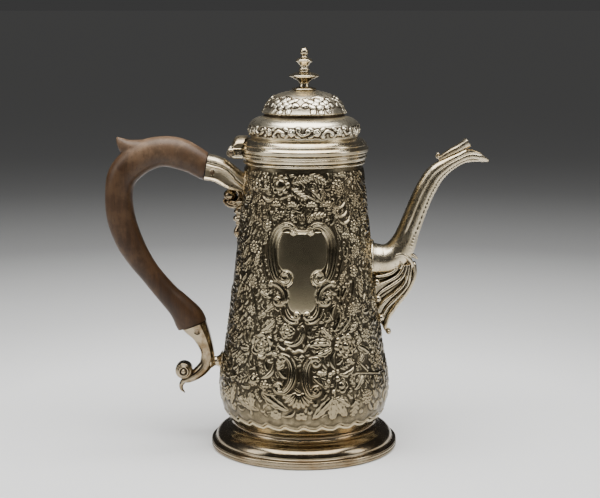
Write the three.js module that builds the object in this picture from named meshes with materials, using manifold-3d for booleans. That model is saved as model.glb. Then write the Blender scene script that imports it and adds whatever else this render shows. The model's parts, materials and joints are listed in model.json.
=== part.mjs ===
// Silver coffee pot: a tall tapering body on a moulded foot, a hinged double-domed lid with a turned
// finial, a curved cast spout and a fruitwood handle held between two cast sockets.
//
// Millimetres, +Z up, the spout towards +X and the handle towards -X. The origin is on the table, under
// the middle of the whole pot. Everything is drawn about the pot's own upright axis, which stands
// AXIS_X beside the origin.

import * as THREE from 'three';
import { mergeVertices } from 'three/addons/utils/BufferGeometryUtils.js';
import Module from 'manifold-3d';

const wasm = await Module();
wasm.setup();

// ---------------------------------------------------------------------------------------------------
// Driving dimensions
// ---------------------------------------------------------------------------------------------------

const AXIS_X = 4.7;              // the pot's axis, seen from the middle of its overall length
const ROUND = 36;               // facets round the large turned pieces
const SOLDER_GAP = 0.1;         // between two concentric turned pieces
const CUT_GAP = 0.3;            // between a cast piece and the piece that it is fitted against

const FOOT_RADIUS = 60;
const FOOT_EDGE_HEIGHT = 4.8;   // the upright band round the foot
const FOOT_TOP = 14.9;
const COLLAR_TOP = 16.9;        // the bead between foot and body
const METAL = 1;                // thickness of the raised sheet

const MOUTH_RADIUS = 36.6;      // outside of the body wall at the mouth
const MOUTH_TOP = 190;
const LID_BOTTOM = 190.3;
const LID_STEP = 199.2;         // where the lid's domes rise from its moulding
const LID_TOP = 228.9;
const FINIAL_TOP = 255;

const HINGE_X = -45.8;
const HINGE_Z = 190;
const HINGE_LENGTH = 22;
const KNUCKLES = 5;
const KNUCKLE_GAP = 0.3;
const KNUCKLE_RADIUS = 2.65;
const HINGE_BORE = 1.2;
const HINGE_PIN = 1.1;
const HINGE_CLEARANCE = 0.35;   // between a knuckle and the leaf that turns round it

const TENON_LENGTH = 10;        // how far the wooden handle reaches into each socket
const TENON_RADIUS = 4.2;
const SOCKET_PIN = 1.2;

const STRAINER_HOLE = 1.3;
const STRAINER_PITCH = 4.6;
const STRAINER_CENTRE_Z = 121;

// Outside of the body between the collar and the mouth, as [radius, height].
const BODY_OUTLINE = [
  [44.8, COLLAR_TOP], [47.9, 18.4], [50.9, 23.3], [53.1, 28.7], [54.2, 34], [54.8, 41.5], [54, 49],
  [52.3, 56.5], [50.8, 65], [48.1, 85], [45.7, 105], [43.2, 126], [40.8, 147], [38.6, 168],
];

// Centre line of the wooden handle from its upper to its lower end, as
// [x, z, half height across the line, half depth along Y]. Each end runs on past its joint face.
const HANDLE_LINE = [
  [-56, 178.4, 8, 8], [-62, 180.2, 8.4, 8.1], [-70.5, 185.1, 9, 8.5], [-79.5, 188.8, 9.8, 8.8], [-90, 190, 9.6, 9],
  [-101, 187, 10, 9], [-110, 180.7, 9.9, 9], [-115.4, 173.4, 9.4, 9], [-117.4, 163, 8.7, 9],
  [-116.4, 148, 8.9, 8.8], [-111.5, 133, 8.6, 8.5], [-105, 121.2, 7.5, 8], [-96.8, 109.8, 6.6, 7.6],
  [-87.3, 98.3, 7, 7.5], [-79, 89.5, 8.2, 7.8], [-73.5, 81.6, 9.9, 8], [-69.5, 72, 9, 7.8],
];

// The faces where wood meets socket, each as the two ends of its line in the XZ plane. Seen from the
// first end, the socket lies to the left of the second.
const UPPER_JOINT = [[-60.4, 188.6], [-63.5, 171.4]];
const LOWER_JOINT = [[-62.6, 81.7], [-79.2, 75.3]];

const UPPER_SOCKET_LINE = [
  [-64, 180.6, 8.4, 8.2], [-56.3, 178, 8.9, 8.6], [-50.8, 175.6, 8.5, 8.8], [-46, 171.8, 8.2, 9],
  [-42, 167, 8.6, 9.4], [-36, 160, 9, 9.8],
];

const LOWER_SOCKET_LINE = [
  [-72.4, 82, 8.8, 8.2], [-70.1, 77.9, 7.9, 7.8], [-66.5, 72, 5.9, 6.8], [-63.7, 65.5, 4.7, 5.8], [-62.4, 60.8, 4.3, 5.2],
  [-62.3, 56.2, 4.4, 5], [-64, 51.2, 4.1, 5], [-69, 46.2, 3.6, 5], [-74.4, 43.2, 3, 4.6],
];

// Centre line of the spout from the body to the pouring lip, in the same form as the handle's.
const SPOUT_LINE = [
  [38, 121, 13.5, 12.5], [46, 120.5, 10.6, 11.2], [52, 120.6, 10, 10], [58.4, 124, 9.4, 9],
  [63.2, 131, 8.2, 8], [66.6, 140, 7, 7.2], [72.8, 156.5, 6.5, 6.5], [77.6, 167.2, 6.4, 6],
  [83.2, 175.9, 6, 5.4], [90.8, 181.8, 4.8, 4.8], [98.2, 186, 4.3, 4.8], [104.5, 188.4, 5, 5],
  [110.5, 187.8, 4.6, 5], [114, 186, 3, 4], [116.4, 184.4, 1.2, 2.2],
];
const SPOUT_WALL = 1.2;

// ---------------------------------------------------------------------------------------------------
// Solids
// ---------------------------------------------------------------------------------------------------

// A turned piece about the pot's axis. The outline runs up the outside and back down the inside.
function turned(outline, facets = ROUND) {
  const points = outline.map(([radius, height]) => new THREE.Vector2(radius, height));
  return new THREE.LatheGeometry(points, facets).rotateX(Math.PI / 2);
}

// A turned ring: the outline closes on itself.
function ring(outline, facets = ROUND) {
  return turned([...outline, outline[0]], facets);
}

// Points of an arc in the [radius, height] plane, angles in degrees from the outward direction.
function arc(centre, radius, from, to, steps) {
  return Array.from({ length: steps + 1 }, (_, i) => {
    const angle = THREE.MathUtils.degToRad(from + ((to - from) * i) / steps);
    return [centre[0] + radius * Math.cos(angle), centre[1] + radius * Math.sin(angle)];
  });
}

// Points of a smooth curve through the given [radius, height] points.
function smooth(points, steps) {
  const curve = new THREE.SplineCurve(points.map(([x, y]) => new THREE.Vector2(x, y)));
  return curve.getPoints(steps).map((p) => [p.x, p.y]);
}

// A plate with the given outline in the XZ plane, centred on the plane and `depth` thick along Y.
function plate(outline, depth) {
  const shape = new THREE.Shape(outline.map(([x, z]) => new THREE.Vector2(x, z)));
  const options = { depth, bevelEnabled: false };
  return new THREE.ExtrudeGeometry(shape, options).rotateX(Math.PI / 2).translate(0, depth / 2, 0);
}

// A round rod along Y, centred on y.
function rodAlongY(x, y, z, radius, length, facets = 16) {
  return new THREE.CylinderGeometry(radius, radius, length, facets).translate(x, y, z);
}

// A closed body through sections across a centre line that lies in the XZ plane. `grow` makes every
// section larger all round, and `power` above 2 squares the sections up. `span` is the stretch used.
function loft(line, { steps = 24, sides = 16, power = 2, grow = 0, span = [0, 1] } = {}) {
  const centres = line.map(([x, z]) => new THREE.Vector3(x, 0, z));
  const sizes = line.map(([, , height, depth]) => new THREE.Vector3(height, depth, 0));
  const path = new THREE.CatmullRomCurve3(centres);
  const size = new THREE.CatmullRomCurve3(sizes);
  const sideways = new THREE.Vector3(0, 1, 0);
  const positions = [];
  const rounded = (value) => Math.sign(value) * Math.abs(value) ** (2 / power);
  for (let i = 0; i <= steps; i += 1) {
    const t = span[0] + ((span[1] - span[0]) * i) / steps;
    const centre = path.getPoint(t);
    const half = size.getPoint(t);
    const across = new THREE.Vector3().crossVectors(sideways, path.getTangent(t));
    for (let j = 0; j < sides; j += 1) {
      const angle = (2 * Math.PI * j) / sides;
      const point = centre.clone();
      point.addScaledVector(across, (half.x + grow) * rounded(Math.cos(angle)));
      point.addScaledVector(sideways, (half.y + grow) * rounded(Math.sin(angle)));
      positions.push(...point.toArray());
    }
  }
  const ends = [path.getPoint(span[0]), path.getPoint(span[1])];
  ends.forEach((end) => positions.push(...end.toArray()));
  return closedRows(positions, steps + 1, sides);
}

// Joins rows of points into a closed body; the last two points are the middles of its two ends.
function closedRows(positions, rows, sides) {
  const index = [];
  const first = rows * sides;
  for (let j = 0; j < sides; j += 1) {
    const next = (j + 1) % sides;
    for (let i = 0; i < rows - 1; i += 1) {
      const a = i * sides + j;
      const b = i * sides + next;
      index.push(a, b, a + sides, b, b + sides, a + sides);
    }
    const last = (rows - 1) * sides;
    index.push(first, next, j, first + 1, last + j, last + next);
  }
  const geometry = new THREE.BufferGeometry();
  geometry.setAttribute('position', new THREE.Float32BufferAttribute(positions, 3));
  geometry.setIndex(index);
  return geometry;
}

// A three.js geometry as a solid that can be cut and joined.
function solid(geometry) {
  const bare = geometry.clone();
  bare.deleteAttribute('normal');
  bare.deleteAttribute('uv');
  const merged = mergeVertices(bare, 1e-4);
  const corners = merged.index.array;
  const triangles = [];
  for (let i = 0; i < corners.length; i += 3) {
    const [a, b, c] = [corners[i], corners[i + 1], corners[i + 2]];
    if (a !== b && b !== c && c !== a) triangles.push(a, b, c);
  }
  const vertProperties = new Float32Array(merged.attributes.position.array);
  const triVerts = new Uint32Array(triangles);
  return new wasm.Manifold(new wasm.Mesh({ numProp: 3, vertProperties, triVerts }));
}

// The first geometry with the others joined on.
function joined(...geometries) {
  return geometries.map(solid).reduce((whole, piece) => whole.add(piece));
}

// A solid with every tool geometry cut away.
function cut(body, ...tools) {
  return tools.map(solid).reduce((rest, tool) => rest.subtract(tool), body);
}

function geometryOf(body) {
  const { vertProperties, triVerts } = body.getMesh();
  const geometry = new THREE.BufferGeometry();
  geometry.setAttribute('position', new THREE.BufferAttribute(vertProperties, 3));
  geometry.setIndex(new THREE.BufferAttribute(triVerts, 1));
  geometry.computeVertexNormals();
  return geometry;
}

// ---------------------------------------------------------------------------------------------------
// Body and foot
// ---------------------------------------------------------------------------------------------------

const bodyOutline = [...smooth(BODY_OUTLINE, 13), [MOUTH_RADIUS, 182.5], [MOUTH_RADIUS, MOUTH_TOP]];

// The space inside the body's outside, grown by `gap`; cast pieces are fitted against it.
function bodySpace(gap) {
  const outline = bodyOutline.map(([radius, height]) => [radius + gap, height]);
  return turned([[0, COLLAR_TOP], ...outline, [0, MOUTH_TOP]]);
}

function bodyShell() {
  const inside = bodyOutline.map(([radius, height]) => [radius - METAL, height]).reverse();
  const holes = [];
  for (let row = -1; row <= 1; row += 1) {
    const count = 5 - Math.abs(row);
    for (let i = 0; i < count; i += 1) {
      const y = (i - (count - 1) / 2) * STRAINER_PITCH;
      const z = STRAINER_CENTRE_Z + row * STRAINER_PITCH * Math.cos(Math.PI / 6);
      const hole = new THREE.CylinderGeometry(STRAINER_HOLE, STRAINER_HOLE, 16, 6);
      holes.push(hole.rotateZ(Math.PI / 2).translate(43, y, z));
    }
  }
  return cut(solid(ring([...bodyOutline, ...inside])), ...holes);
}

// The domed disc soldered in as the floor of the body.
function bodyBase() {
  const rim = 44.8 - METAL - SOLDER_GAP;
  return turned([[0, 19.4], [26, 18.4], [rim, COLLAR_TOP], [rim, 17.9], [26, 19.4], [0, 20.4]]);
}

function footCollar() {
  const middle = (FOOT_TOP + COLLAR_TOP) / 2;
  const bead = arc([45.1, middle], (COLLAR_TOP - FOOT_TOP) / 2, -90, 90, 4);
  return ring([[43, FOOT_TOP], ...bead, [43, COLLAR_TOP]]);
}

// The stepped moulding of the foot: a quarter round below and a hollow above, spun from one sheet.
function footMoulding() {
  const top = [
    [57.4, FOOT_EDGE_HEIGHT], ...arc([50.6, 5], 6.6, 8, 82, 5), [49.6, 12.2],
    ...arc([49.2, 16.7], 4, -98, -155, 3),
  ];
  const under = [[44.3, 14.2], [48.4, 11.4], [52.6, 9.8], [55.2, 7], [55.8, FOOT_EDGE_HEIGHT]];
  return ring([...top, ...under]);
}

function footEdge() {
  const inner = 56;
  return ring([[inner, 0], [59.6, 0], [FOOT_RADIUS, 0.5], [FOOT_RADIUS, 4.3],
    [59.6, FOOT_EDGE_HEIGHT], [inner, FOOT_EDGE_HEIGHT]]);
}

function mouthWire() {
  const inner = MOUTH_RADIUS + SOLDER_GAP;
  return ring([[inner, 182.9], ...arc([37.7, 183.8], 0.9, -90, 90, 3), [inner, 184.7]]);
}

function mouthMoulding() {
  const inner = MOUTH_RADIUS + SOLDER_GAP;
  return ring([[inner, 185.3], [38.6, 185.5], [39.6, 187], [39.6, MOUTH_TOP], [inner, MOUTH_TOP]]);
}

// ---------------------------------------------------------------------------------------------------
// Lid and finial
// ---------------------------------------------------------------------------------------------------

const LID_BEZEL_OUTSIDE = 34.9;
const LID_FACE = [
  [38.9, LID_BOTTOM], [40.5, 191.4], [40.5, 193.2], [39.4, 194.4], [39.2, 196], [37.4, 198.4],
  [34.2, LID_STEP - 0.1],
];

function lidMoulding() {
  const inner = LID_BEZEL_OUTSIDE + SOLDER_GAP;
  return ring([...LID_FACE, [32.4, LID_STEP - 0.1], [32.4, 198], [inner, 198], [inner, LID_BOTTOM]]);
}

function lidBezel() {
  return ring([[33.9, 184.6], [LID_BEZEL_OUTSIDE - 0.3, 184.6], [LID_BEZEL_OUTSIDE, 186],
    [LID_BEZEL_OUTSIDE, 197.9], [33.9, 197.9]]);
}

const lidDomes = [
  [33.4, LID_STEP], ...smooth([[34.2, 201.4], [34.9, 205], [33.9, 208.2], [31.2, 210.7], [27.2, 212.2]], 5),
  [26.4, 213.2], [25.6, 214.8],
  ...smooth([[25, 217], [23.2, 220.8], [19.2, 224.8], [14, 227], [8, LID_TOP - 0.5]], 6), [4, LID_TOP],
];

function lidCover() {
  const stud = 2;
  const inside = smooth([[7, 227.5], [13.4, 226], [18.5, 223.8], [22.4, 220], [24, 216], [25, 212.3],
    [30.4, 210], [32.9, 207.6], [33.8, 205], [33.2, 202], [32.4, LID_STEP]], 11);
  return ring([...lidDomes, [stud, LID_TOP], [stud, 227.8], ...inside]);
}

function finialBase() {
  const face = [[7.4, LID_TOP], [7.6, 229.6], [5.7, 230.4], [1.9, 230.6]];
  return ring([...face, [1.9, LID_TOP]], 18);
}

// The turned finial, with the threaded stud that passes down through the lid.
function finial() {
  const outline = [
    [0, 224.6], [1.5, 224.6], [1.5, 230.9], [3.4, 230.9], [2.9, 232.6], [3.6, 234],
    [5.8, 235.4], [9.2, 236.8], [9.6, 237.8], [6, 239.4], [2.9, 240.4], [3.3, 241.5], [2.7, 243],
    [3.3, 244.6], [5.2, 246.6], [5, 247.8], [2.7, 248.8], [1.8, 250.4],
    ...arc([0, FINIAL_TOP - 2.6], 2.6, -40, 90, 5),
  ];
  return turned([...outline.slice(0, -1), [0, FINIAL_TOP]], 18);
}

function finialNut() {
  return ring([[1.8, 225.2], [4, 225.2], [4, 227], [1.8, 227]], 6);
}

// ---------------------------------------------------------------------------------------------------
// Hinge
// ---------------------------------------------------------------------------------------------------

const knuckleLength = (HINGE_LENGTH - (KNUCKLES - 1) * KNUCKLE_GAP) / KNUCKLES;

function knuckleMiddle(i) {
  return -HINGE_LENGTH / 2 + knuckleLength / 2 + i * (knuckleLength + KNUCKLE_GAP);
}

// One leaf of the hinge: a strap with every second knuckle, cut clear of the other leaf's knuckles.
function hingeLeaf(strap, firstKnuckle, against) {
  let leaf = solid(plate(strap, HINGE_LENGTH));
  for (let i = 0; i < KNUCKLES; i += 1) {
    const own = (i - firstKnuckle) % 2 === 0;
    const radius = own ? KNUCKLE_RADIUS : KNUCKLE_RADIUS + HINGE_CLEARANCE;
    const length = own ? knuckleLength : knuckleLength + 2 * KNUCKLE_GAP;
    const barrel = solid(rodAlongY(HINGE_X, knuckleMiddle(i), HINGE_Z, radius, length));
    leaf = own ? leaf.add(barrel) : leaf.subtract(barrel);
  }
  return cut(leaf, rodAlongY(HINGE_X, 0, HINGE_Z, HINGE_BORE, HINGE_LENGTH + 2), against);
}

// The outside of the mouth moulding and of the lid's moulding, grown by the fitting gap.
function mouldingSpace() {
  const mouth = 39.6 + CUT_GAP;
  const lid = LID_FACE.slice(1).map(([radius, height]) => [radius + CUT_GAP, height]);
  return turned([[0, 180], [mouth, 180], [mouth, 190.1], [40.8, 190.1], ...lid, [34.8, 200],
    [35.2, 205], [0, 205]]);
}

function hingeBodyLeaf() {
  const strap = [[HINGE_X, 187.4], [-44, 186.4], [-37, 186.4], [-37, 188.9], [-43.8, 188.9], [HINGE_X, 189.6]];
  return hingeLeaf(strap, 0, mouldingSpace());
}

function hingeLidLeaf() {
  const strap = [[HINGE_X, 190.6], [-43.4, 190.9], [-37, 190.9], [-37, 193.5], [-43.8, 193.5], [HINGE_X, 192.6]];
  return hingeLeaf(strap, 1, mouldingSpace());
}

// The hollow-looking hood that rises from the hinge to the top of the lid's moulding.
function hingeHood() {
  const outline = [[-45.5, 193.9], [-42.9, 198.6], [-41.6, 199.5], [-33, 199.5], [-33, 193.9]];
  return cut(solid(plate(outline, HINGE_LENGTH - 1)), mouldingSpace());
}

function hingePin() {
  return rodAlongY(HINGE_X, 0, HINGE_Z, HINGE_PIN, HINGE_LENGTH + 0.6);
}

// ---------------------------------------------------------------------------------------------------
// Handle and its sockets
// ---------------------------------------------------------------------------------------------------

// The middle of a joint face and its direction towards the socket.
function jointFrame(joint) {
  const [first, second] = joint.map(([x, z]) => new THREE.Vector2(x, z));
  const along = second.clone().sub(first).normalize();
  const middle = first.clone().add(second).multiplyScalar(0.5);
  return { middle, along, towardsSocket: new THREE.Vector2(-along.y, along.x) };
}

// Everything on one side of a joint face: side 1 is the socket's side and -1 the wood's.
function jointSide(joint, side, gap = 0) {
  const { middle, along, towardsSocket } = jointFrame(joint);
  const corner = (sideways, distance) => middle.clone().addScaledVector(along, sideways)
    .addScaledVector(towardsSocket, side * distance).toArray();
  return plate([corner(-22, gap), corner(22, gap), corner(22, 30), corner(-22, 30)], 40);
}

// The tenon that carries on from the joint face into the socket.
function tenon(joint, grow = 0) {
  const { middle, towardsSocket } = jointFrame(joint);
  const stations = [-3, TENON_LENGTH / 2, TENON_LENGTH + grow].map((distance) => {
    const centre = middle.clone().addScaledVector(towardsSocket, distance);
    return [centre.x, centre.y, TENON_RADIUS, TENON_RADIUS];
  });
  return loft(stations, { steps: 2, sides: 10, grow });
}

// The pointed thumb rest that stands up from the handle's outer bend.
function thumbRest() {
  const line = [[-101, 189, 7, 7], [-108, 193.2, 6, 5.5], [-113.6, 196.4, 3.8, 3.6], [-118, 199.2, 0.7, 0.9]];
  return loft(line, { steps: 6, sides: 10 });
}

function handleWood() {
  const grip = joined(loft(HANDLE_LINE, { steps: 32, sides: 14, power: 2.3 }), thumbRest());
  const trimmed = cut(grip, jointSide(UPPER_JOINT, 1), jointSide(LOWER_JOINT, 1));
  const whole = trimmed.add(joined(tenon(UPPER_JOINT), tenon(LOWER_JOINT)));
  return cut(whole, pinHole(UPPER_PIN), pinHole(LOWER_PIN));
}

const UPPER_PIN = [-57.6, 177.6];
const LOWER_PIN = [-68.4, 74.8];

// Both ends of the wood are pinned to their sockets by a pin that runs straight across.
function socketPin([x, z], halfDepth) {
  return rodAlongY(x, 0, z, SOCKET_PIN, 2 * halfDepth, 12);
}

function pinHole([x, z]) {
  return rodAlongY(x, 0, z, SOCKET_PIN + CUT_GAP, 40, 12);
}

// The cast plate that spreads the upper socket's load over the body wall.
function socketPlate() {
  const halfHeight = 19;
  const outline = new THREE.Shape();
  outline.absellipse(0, 0, halfHeight, 7.5, 0, 2 * Math.PI);
  const oval = new THREE.ExtrudeGeometry(outline, { depth: 30, bevelEnabled: false, curveSegments: 10 });
  oval.rotateY(-Math.PI / 2).translate(-25, 0, 160);
  return solid(oval).intersect(solid(bodySpace(1.3))).subtract(solid(bodySpace(CUT_GAP)));
}

function upperSocket() {
  const socket = solid(loft(UPPER_SOCKET_LINE, { steps: 10, sides: 16, power: 2.3 }));
  return cut(socket, bodySpace(1.6), jointSide(UPPER_JOINT, -1, -CUT_GAP),
    tenon(UPPER_JOINT, CUT_GAP), pinHole(UPPER_PIN));
}

// The knop, cup and tapering drop cast under the upper socket, lying against the body.
function socketDrop() {
  const outline = [
    [0, -25], [1.2, -23.6], [1.9, -20], [1.4, -17.2], [2.6, -15.6], [2.6, -13.6], [1.7, -12.6],
    [2.9, -11.4], [2.9, -9.4], [3.4, -7.4], [5.8, -4.4], [6, -3.2], [4.4, -2.4], [5.2, -0.4],
    [5.4, 1], [5, 2.6], [3.4, 3.8], [0, 4.2],
  ];
  const drop = turned(outline, 16).rotateY(THREE.MathUtils.degToRad(6)).translate(-45.2, 0, 160.6);
  return cut(solid(drop), bodySpace(1.6), loft(UPPER_SOCKET_LINE, { steps: 10, sides: 16, power: 2.3, grow: CUT_GAP }));
}

function lowerSocket() {
  const socket = solid(loft(LOWER_SOCKET_LINE, { steps: 16, sides: 12 }));
  return cut(socket, jointSide(LOWER_JOINT, -1, -CUT_GAP), tenon(LOWER_JOINT, CUT_GAP),
    pinHole(LOWER_PIN));
}

// The drum-shaped scroll that the lower socket curls into, with a button on each face.
function socketScroll() {
  const profile = [[0, -6.6], [1.8, -6.4], [2.6, -5.6], [4, -5.2], [5.35, -3.8], [5.35, 3.8], [4, 5.2],
    [2.6, 5.6], [1.8, 6.4], [0, 6.6]];
  const points = profile.map(([radius, y]) => new THREE.Vector2(radius, y));
  const drum = new THREE.LatheGeometry(points, 18).translate(-77.6, 0, 48.4);
  return cut(solid(drum), loft(LOWER_SOCKET_LINE, { steps: 16, sides: 12, grow: CUT_GAP }));
}

// The small hooked leaf below the scroll.
function socketTail() {
  const line = [[-73.4, 39.6, 0.9, 3.4], [-77.2, 39, 1.3, 3.2], [-79.2, 37.4, 1.4, 2.6], [-78.8, 35.2, 1.2, 2],
    [-77.2, 33, 0.4, 0.8]];
  const scroll = rodAlongY(-77.6, 0, 48.4, 5.35 + CUT_GAP, 20, 24);
  const socket = loft(LOWER_SOCKET_LINE, { steps: 16, sides: 12, grow: CUT_GAP });
  return cut(solid(loft(line, { steps: 10, sides: 10 })), scroll, socket);
}

// The turned strut that holds the lower socket off the body.
function socketStrut() {
  const outline = [[0, 0], [5.6, 0], [5.6, 3.2], [3.2, 4.4], [2.9, 6.4], [4.8, 8.4], [4.8, 12], [0, 12]];
  const strut = turned(outline, 16).rotateY(-Math.PI / 2).translate(-50.5, 0, 52.6);
  return cut(solid(strut), bodySpace(CUT_GAP), loft(LOWER_SOCKET_LINE, { steps: 16, sides: 12, grow: CUT_GAP }));
}

// ---------------------------------------------------------------------------------------------------
// Spout
// ---------------------------------------------------------------------------------------------------

// Everything above the open pouring lip, whose rim slopes down from behind the crest to the tip.
function lipOpening() {
  return plate([[101.8, 189.6], [102.6, 190.9], [106, 190.9], [111.4, 188.8], [118, 183.8], [118, 198],
    [101.8, 198]], 30);
}

function spoutTube() {
  const outside = solid(loft(SPOUT_LINE, { steps: 28, sides: 14 }));
  const bore = loft(SPOUT_LINE, { steps: 24, sides: 10, grow: -SPOUT_WALL, span: [0.01, 0.96] });
  return cut(outside, bore, lipOpening(), bodySpace(CUT_GAP));
}

// The bead round the spout's root, where it is soldered to the body.
function spoutCollar() {
  const tube = loft(SPOUT_LINE, { steps: 28, sides: 14, grow: CUT_GAP });
  const bead = loft([[40, 121, 14.4, 13.4], [45.6, 121, 12.6, 12.6]], { steps: 2, sides: 20 });
  const upperHalf = plate([[36, 112], [50, 112], [50, 140], [36, 140]], 40);
  return cut(solid(bead), tube, bodySpace(CUT_GAP)).intersect(solid(upperHalf));
}

// The fluted shell that carries the spout's root down the body: three lobes and an outer rib.
function spoutShell() {
  const lobes = [
    [[67, 119, 3, 6.5], [60, 111.5, 4, 9.5], [47, 107.5, 4.4, 11.5], [38, 107, 4.6, 12]],
    [[68, 115, 3, 6], [61.5, 103.5, 4.4, 8.5], [51, 97.5, 4.8, 10], [40, 96, 5, 10.5]],
    [[67.5, 110, 3, 5], [62, 98, 4.2, 6.5], [54.5, 88.5, 4.6, 7.5], [44, 84.5, 5, 8]],
  ].map((line) => loft(line, { steps: 7, sides: 10 }));
  const rib = [[69, 121.5, 1.8, 3.6], [69.2, 113, 2, 3.4], [65.6, 101.5, 2.2, 3.2], [59.8, 91.5, 2.2, 3],
    [55.6, 83, 2.2, 2.8], [54, 75.5, 1.9, 2.4]];
  const shell = joined(...lobes, loft(rib, { steps: 12, sides: 8 }));
  return cut(shell, loft(SPOUT_LINE, { steps: 28, sides: 14, grow: CUT_GAP }), bodySpace(CUT_GAP));
}

// The crest along the top of the spout behind its mouth, ending in a small curl.
function spoutCrest() {
  const line = [[85.8, 184.6, 1.7, 2.4], [92, 188.4, 1.9, 3], [98, 191.4, 2, 3.4], [101.2, 193.4, 2.4, 3.6]];
  const curl = new THREE.SphereGeometry(1.5, 10, 8).translate(84.4, 0, 187);
  const tube = loft(SPOUT_LINE, { steps: 28, sides: 14, grow: CUT_GAP });
  return cut(joined(loft(line, { steps: 8, sides: 12 }), curl), tube);
}

// ---------------------------------------------------------------------------------------------------
// Assembly
// ---------------------------------------------------------------------------------------------------

function silver(colour = 0xb3a68a) {
  return new THREE.MeshStandardMaterial({ color: colour, roughness: 0.28, metalness: 1 });
}

function fruitwood() {
  return new THREE.MeshStandardMaterial({ color: 0x6b452f, roughness: 0.5, metalness: 0 });
}

function piece(name, shape, material = silver()) {
  const geometry = shape instanceof THREE.BufferGeometry ? shape : geometryOf(shape);
  const mesh = new THREE.Mesh(geometry, material);
  mesh.name = name;
  return mesh;
}

const body = new THREE.Group();
body.add(
  piece('body_shell', bodyShell(), silver(0x9c8e72)),
  piece('body_base', bodyBase()),
  piece('foot_edge', footEdge()),
  piece('foot_moulding', footMoulding(), silver(0x8f8163)),
  piece('foot_collar', footCollar()),
  piece('mouth_wire', mouthWire()),
  piece('mouth_moulding', mouthMoulding()),
);

const spout = new THREE.Group();
spout.add(
  piece('spout_tube', spoutTube()),
  piece('spout_collar', spoutCollar()),
  piece('spout_shell', spoutShell(), silver(0xa5987b)),
  piece('spout_crest', spoutCrest()),
);

const handle = new THREE.Group();
handle.add(
  piece('handle_wood', handleWood(), fruitwood()),
  piece('upper_socket', upperSocket()),
  piece('upper_socket_plate', socketPlate()),
  piece('upper_socket_drop', socketDrop()),
  piece('upper_socket_pin', socketPin(UPPER_PIN, 8.6)),
  piece('lower_socket', lowerSocket()),
  piece('lower_socket_scroll', socketScroll()),
  piece('lower_socket_tail', socketTail()),
  piece('lower_socket_strut', socketStrut()),
  piece('lower_socket_pin', socketPin(LOWER_PIN, 7.4)),
);

const hinge = new THREE.Group();
hinge.add(
  piece('hinge_body_leaf', hingeBodyLeaf()),
  piece('hinge_pin', hingePin()),
);

const lid = new THREE.Group();
lid.add(
  piece('lid_cover', lidCover(), silver(0xc0b394)),
  piece('lid_moulding', lidMoulding()),
  piece('lid_bezel', lidBezel()),
  piece('hinge_lid_leaf', hingeLidLeaf()),
  piece('hinge_hood', hingeHood()),
  piece('finial_base', finialBase()),
  piece('finial', finial()),
  piece('finial_nut', finialNut()),
);

const coffeePot = new THREE.Group();
coffeePot.add(body, spout, handle, hinge, lid);
coffeePot.position.x = AXIS_X;

export default coffeePot;
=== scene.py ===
import json
import math

import bmesh
import bpy
import numpy as np
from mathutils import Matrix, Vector


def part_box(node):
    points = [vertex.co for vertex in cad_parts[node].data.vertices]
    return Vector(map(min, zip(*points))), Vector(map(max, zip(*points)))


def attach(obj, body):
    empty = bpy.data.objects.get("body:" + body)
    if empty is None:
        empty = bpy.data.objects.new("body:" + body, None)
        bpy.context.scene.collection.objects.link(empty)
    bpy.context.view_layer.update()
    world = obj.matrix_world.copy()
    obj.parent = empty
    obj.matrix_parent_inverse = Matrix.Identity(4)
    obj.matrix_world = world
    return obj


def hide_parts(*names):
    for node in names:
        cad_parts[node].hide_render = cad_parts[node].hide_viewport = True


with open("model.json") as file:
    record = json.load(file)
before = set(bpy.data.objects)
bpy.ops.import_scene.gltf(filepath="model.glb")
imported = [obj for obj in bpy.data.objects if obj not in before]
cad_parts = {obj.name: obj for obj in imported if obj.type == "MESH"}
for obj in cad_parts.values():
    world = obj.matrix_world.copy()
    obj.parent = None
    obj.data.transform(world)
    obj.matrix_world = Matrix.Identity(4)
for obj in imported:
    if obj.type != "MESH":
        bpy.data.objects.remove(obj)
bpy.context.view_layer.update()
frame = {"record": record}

# ----------------------------------------------------------------------------------------------------
# Places and sizes. Points are in millimetres about the pot's own upright axis: x towards the spout,
# y away from the viewer, z up from the table. Angles round the pot run from the viewer's side (-y)
# towards the spout.
# ----------------------------------------------------------------------------------------------------

MM = 0.001


def node_box(node):
    """The lowest and highest corner of a CAD node, in millimetres in the row frame."""
    low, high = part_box(node)
    return np.array(low) / MM, np.array(high) / MM


BODY_LOW, BODY_HIGH = node_box("body_shell")
AXIS_X = (BODY_LOW[0] + BODY_HIGH[0]) / 2

FOOT_EDGE_HEIGHT = node_box("foot_edge")[1][2]
FOOT_TOP = node_box("foot_collar")[0][2]
COLLAR_TOP = BODY_LOW[2]
MOUTH_TOP = BODY_HIGH[2]
MOUTH_RADIUS = 36.6
FOOT_RING_RADIUS = 44.8
METAL = 1.0
WOOD_OVERLAP = 0.35
SOCKET_OVERLAP = 0.3
LID_BOTTOM = node_box("lid_moulding")[0][2]
LID_STEP = node_box("lid_cover")[0][2]
LID_TOP = node_box("lid_cover")[1][2]
FINIAL_TOP = node_box("finial")[1][2]
HINGE_LOW, HINGE_HIGH = node_box("hinge_pin")
HINGE_X = (HINGE_LOW[0] + HINGE_HIGH[0]) / 2 - AXIS_X
HINGE_Z = (HINGE_LOW[2] + HINGE_HIGH[2]) / 2
HINGE_LENGTH = 22.0
KNUCKLES = 5
KNUCKLE_GAP = 0.3
KNUCKLE_RADIUS = 2.65

BODY_OUTLINE = [
    (FOOT_RING_RADIUS, COLLAR_TOP), (47.9, 18.4), (50.9, 23.3), (53.1, 28.7), (54.2, 34), (54.8, 41.5),
    (54, 49), (52.3, 56.5), (50.8, 65), (48.1, 85), (45.7, 105), (43.2, 126), (40.8, 147), (38.6, 168),
]

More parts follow.
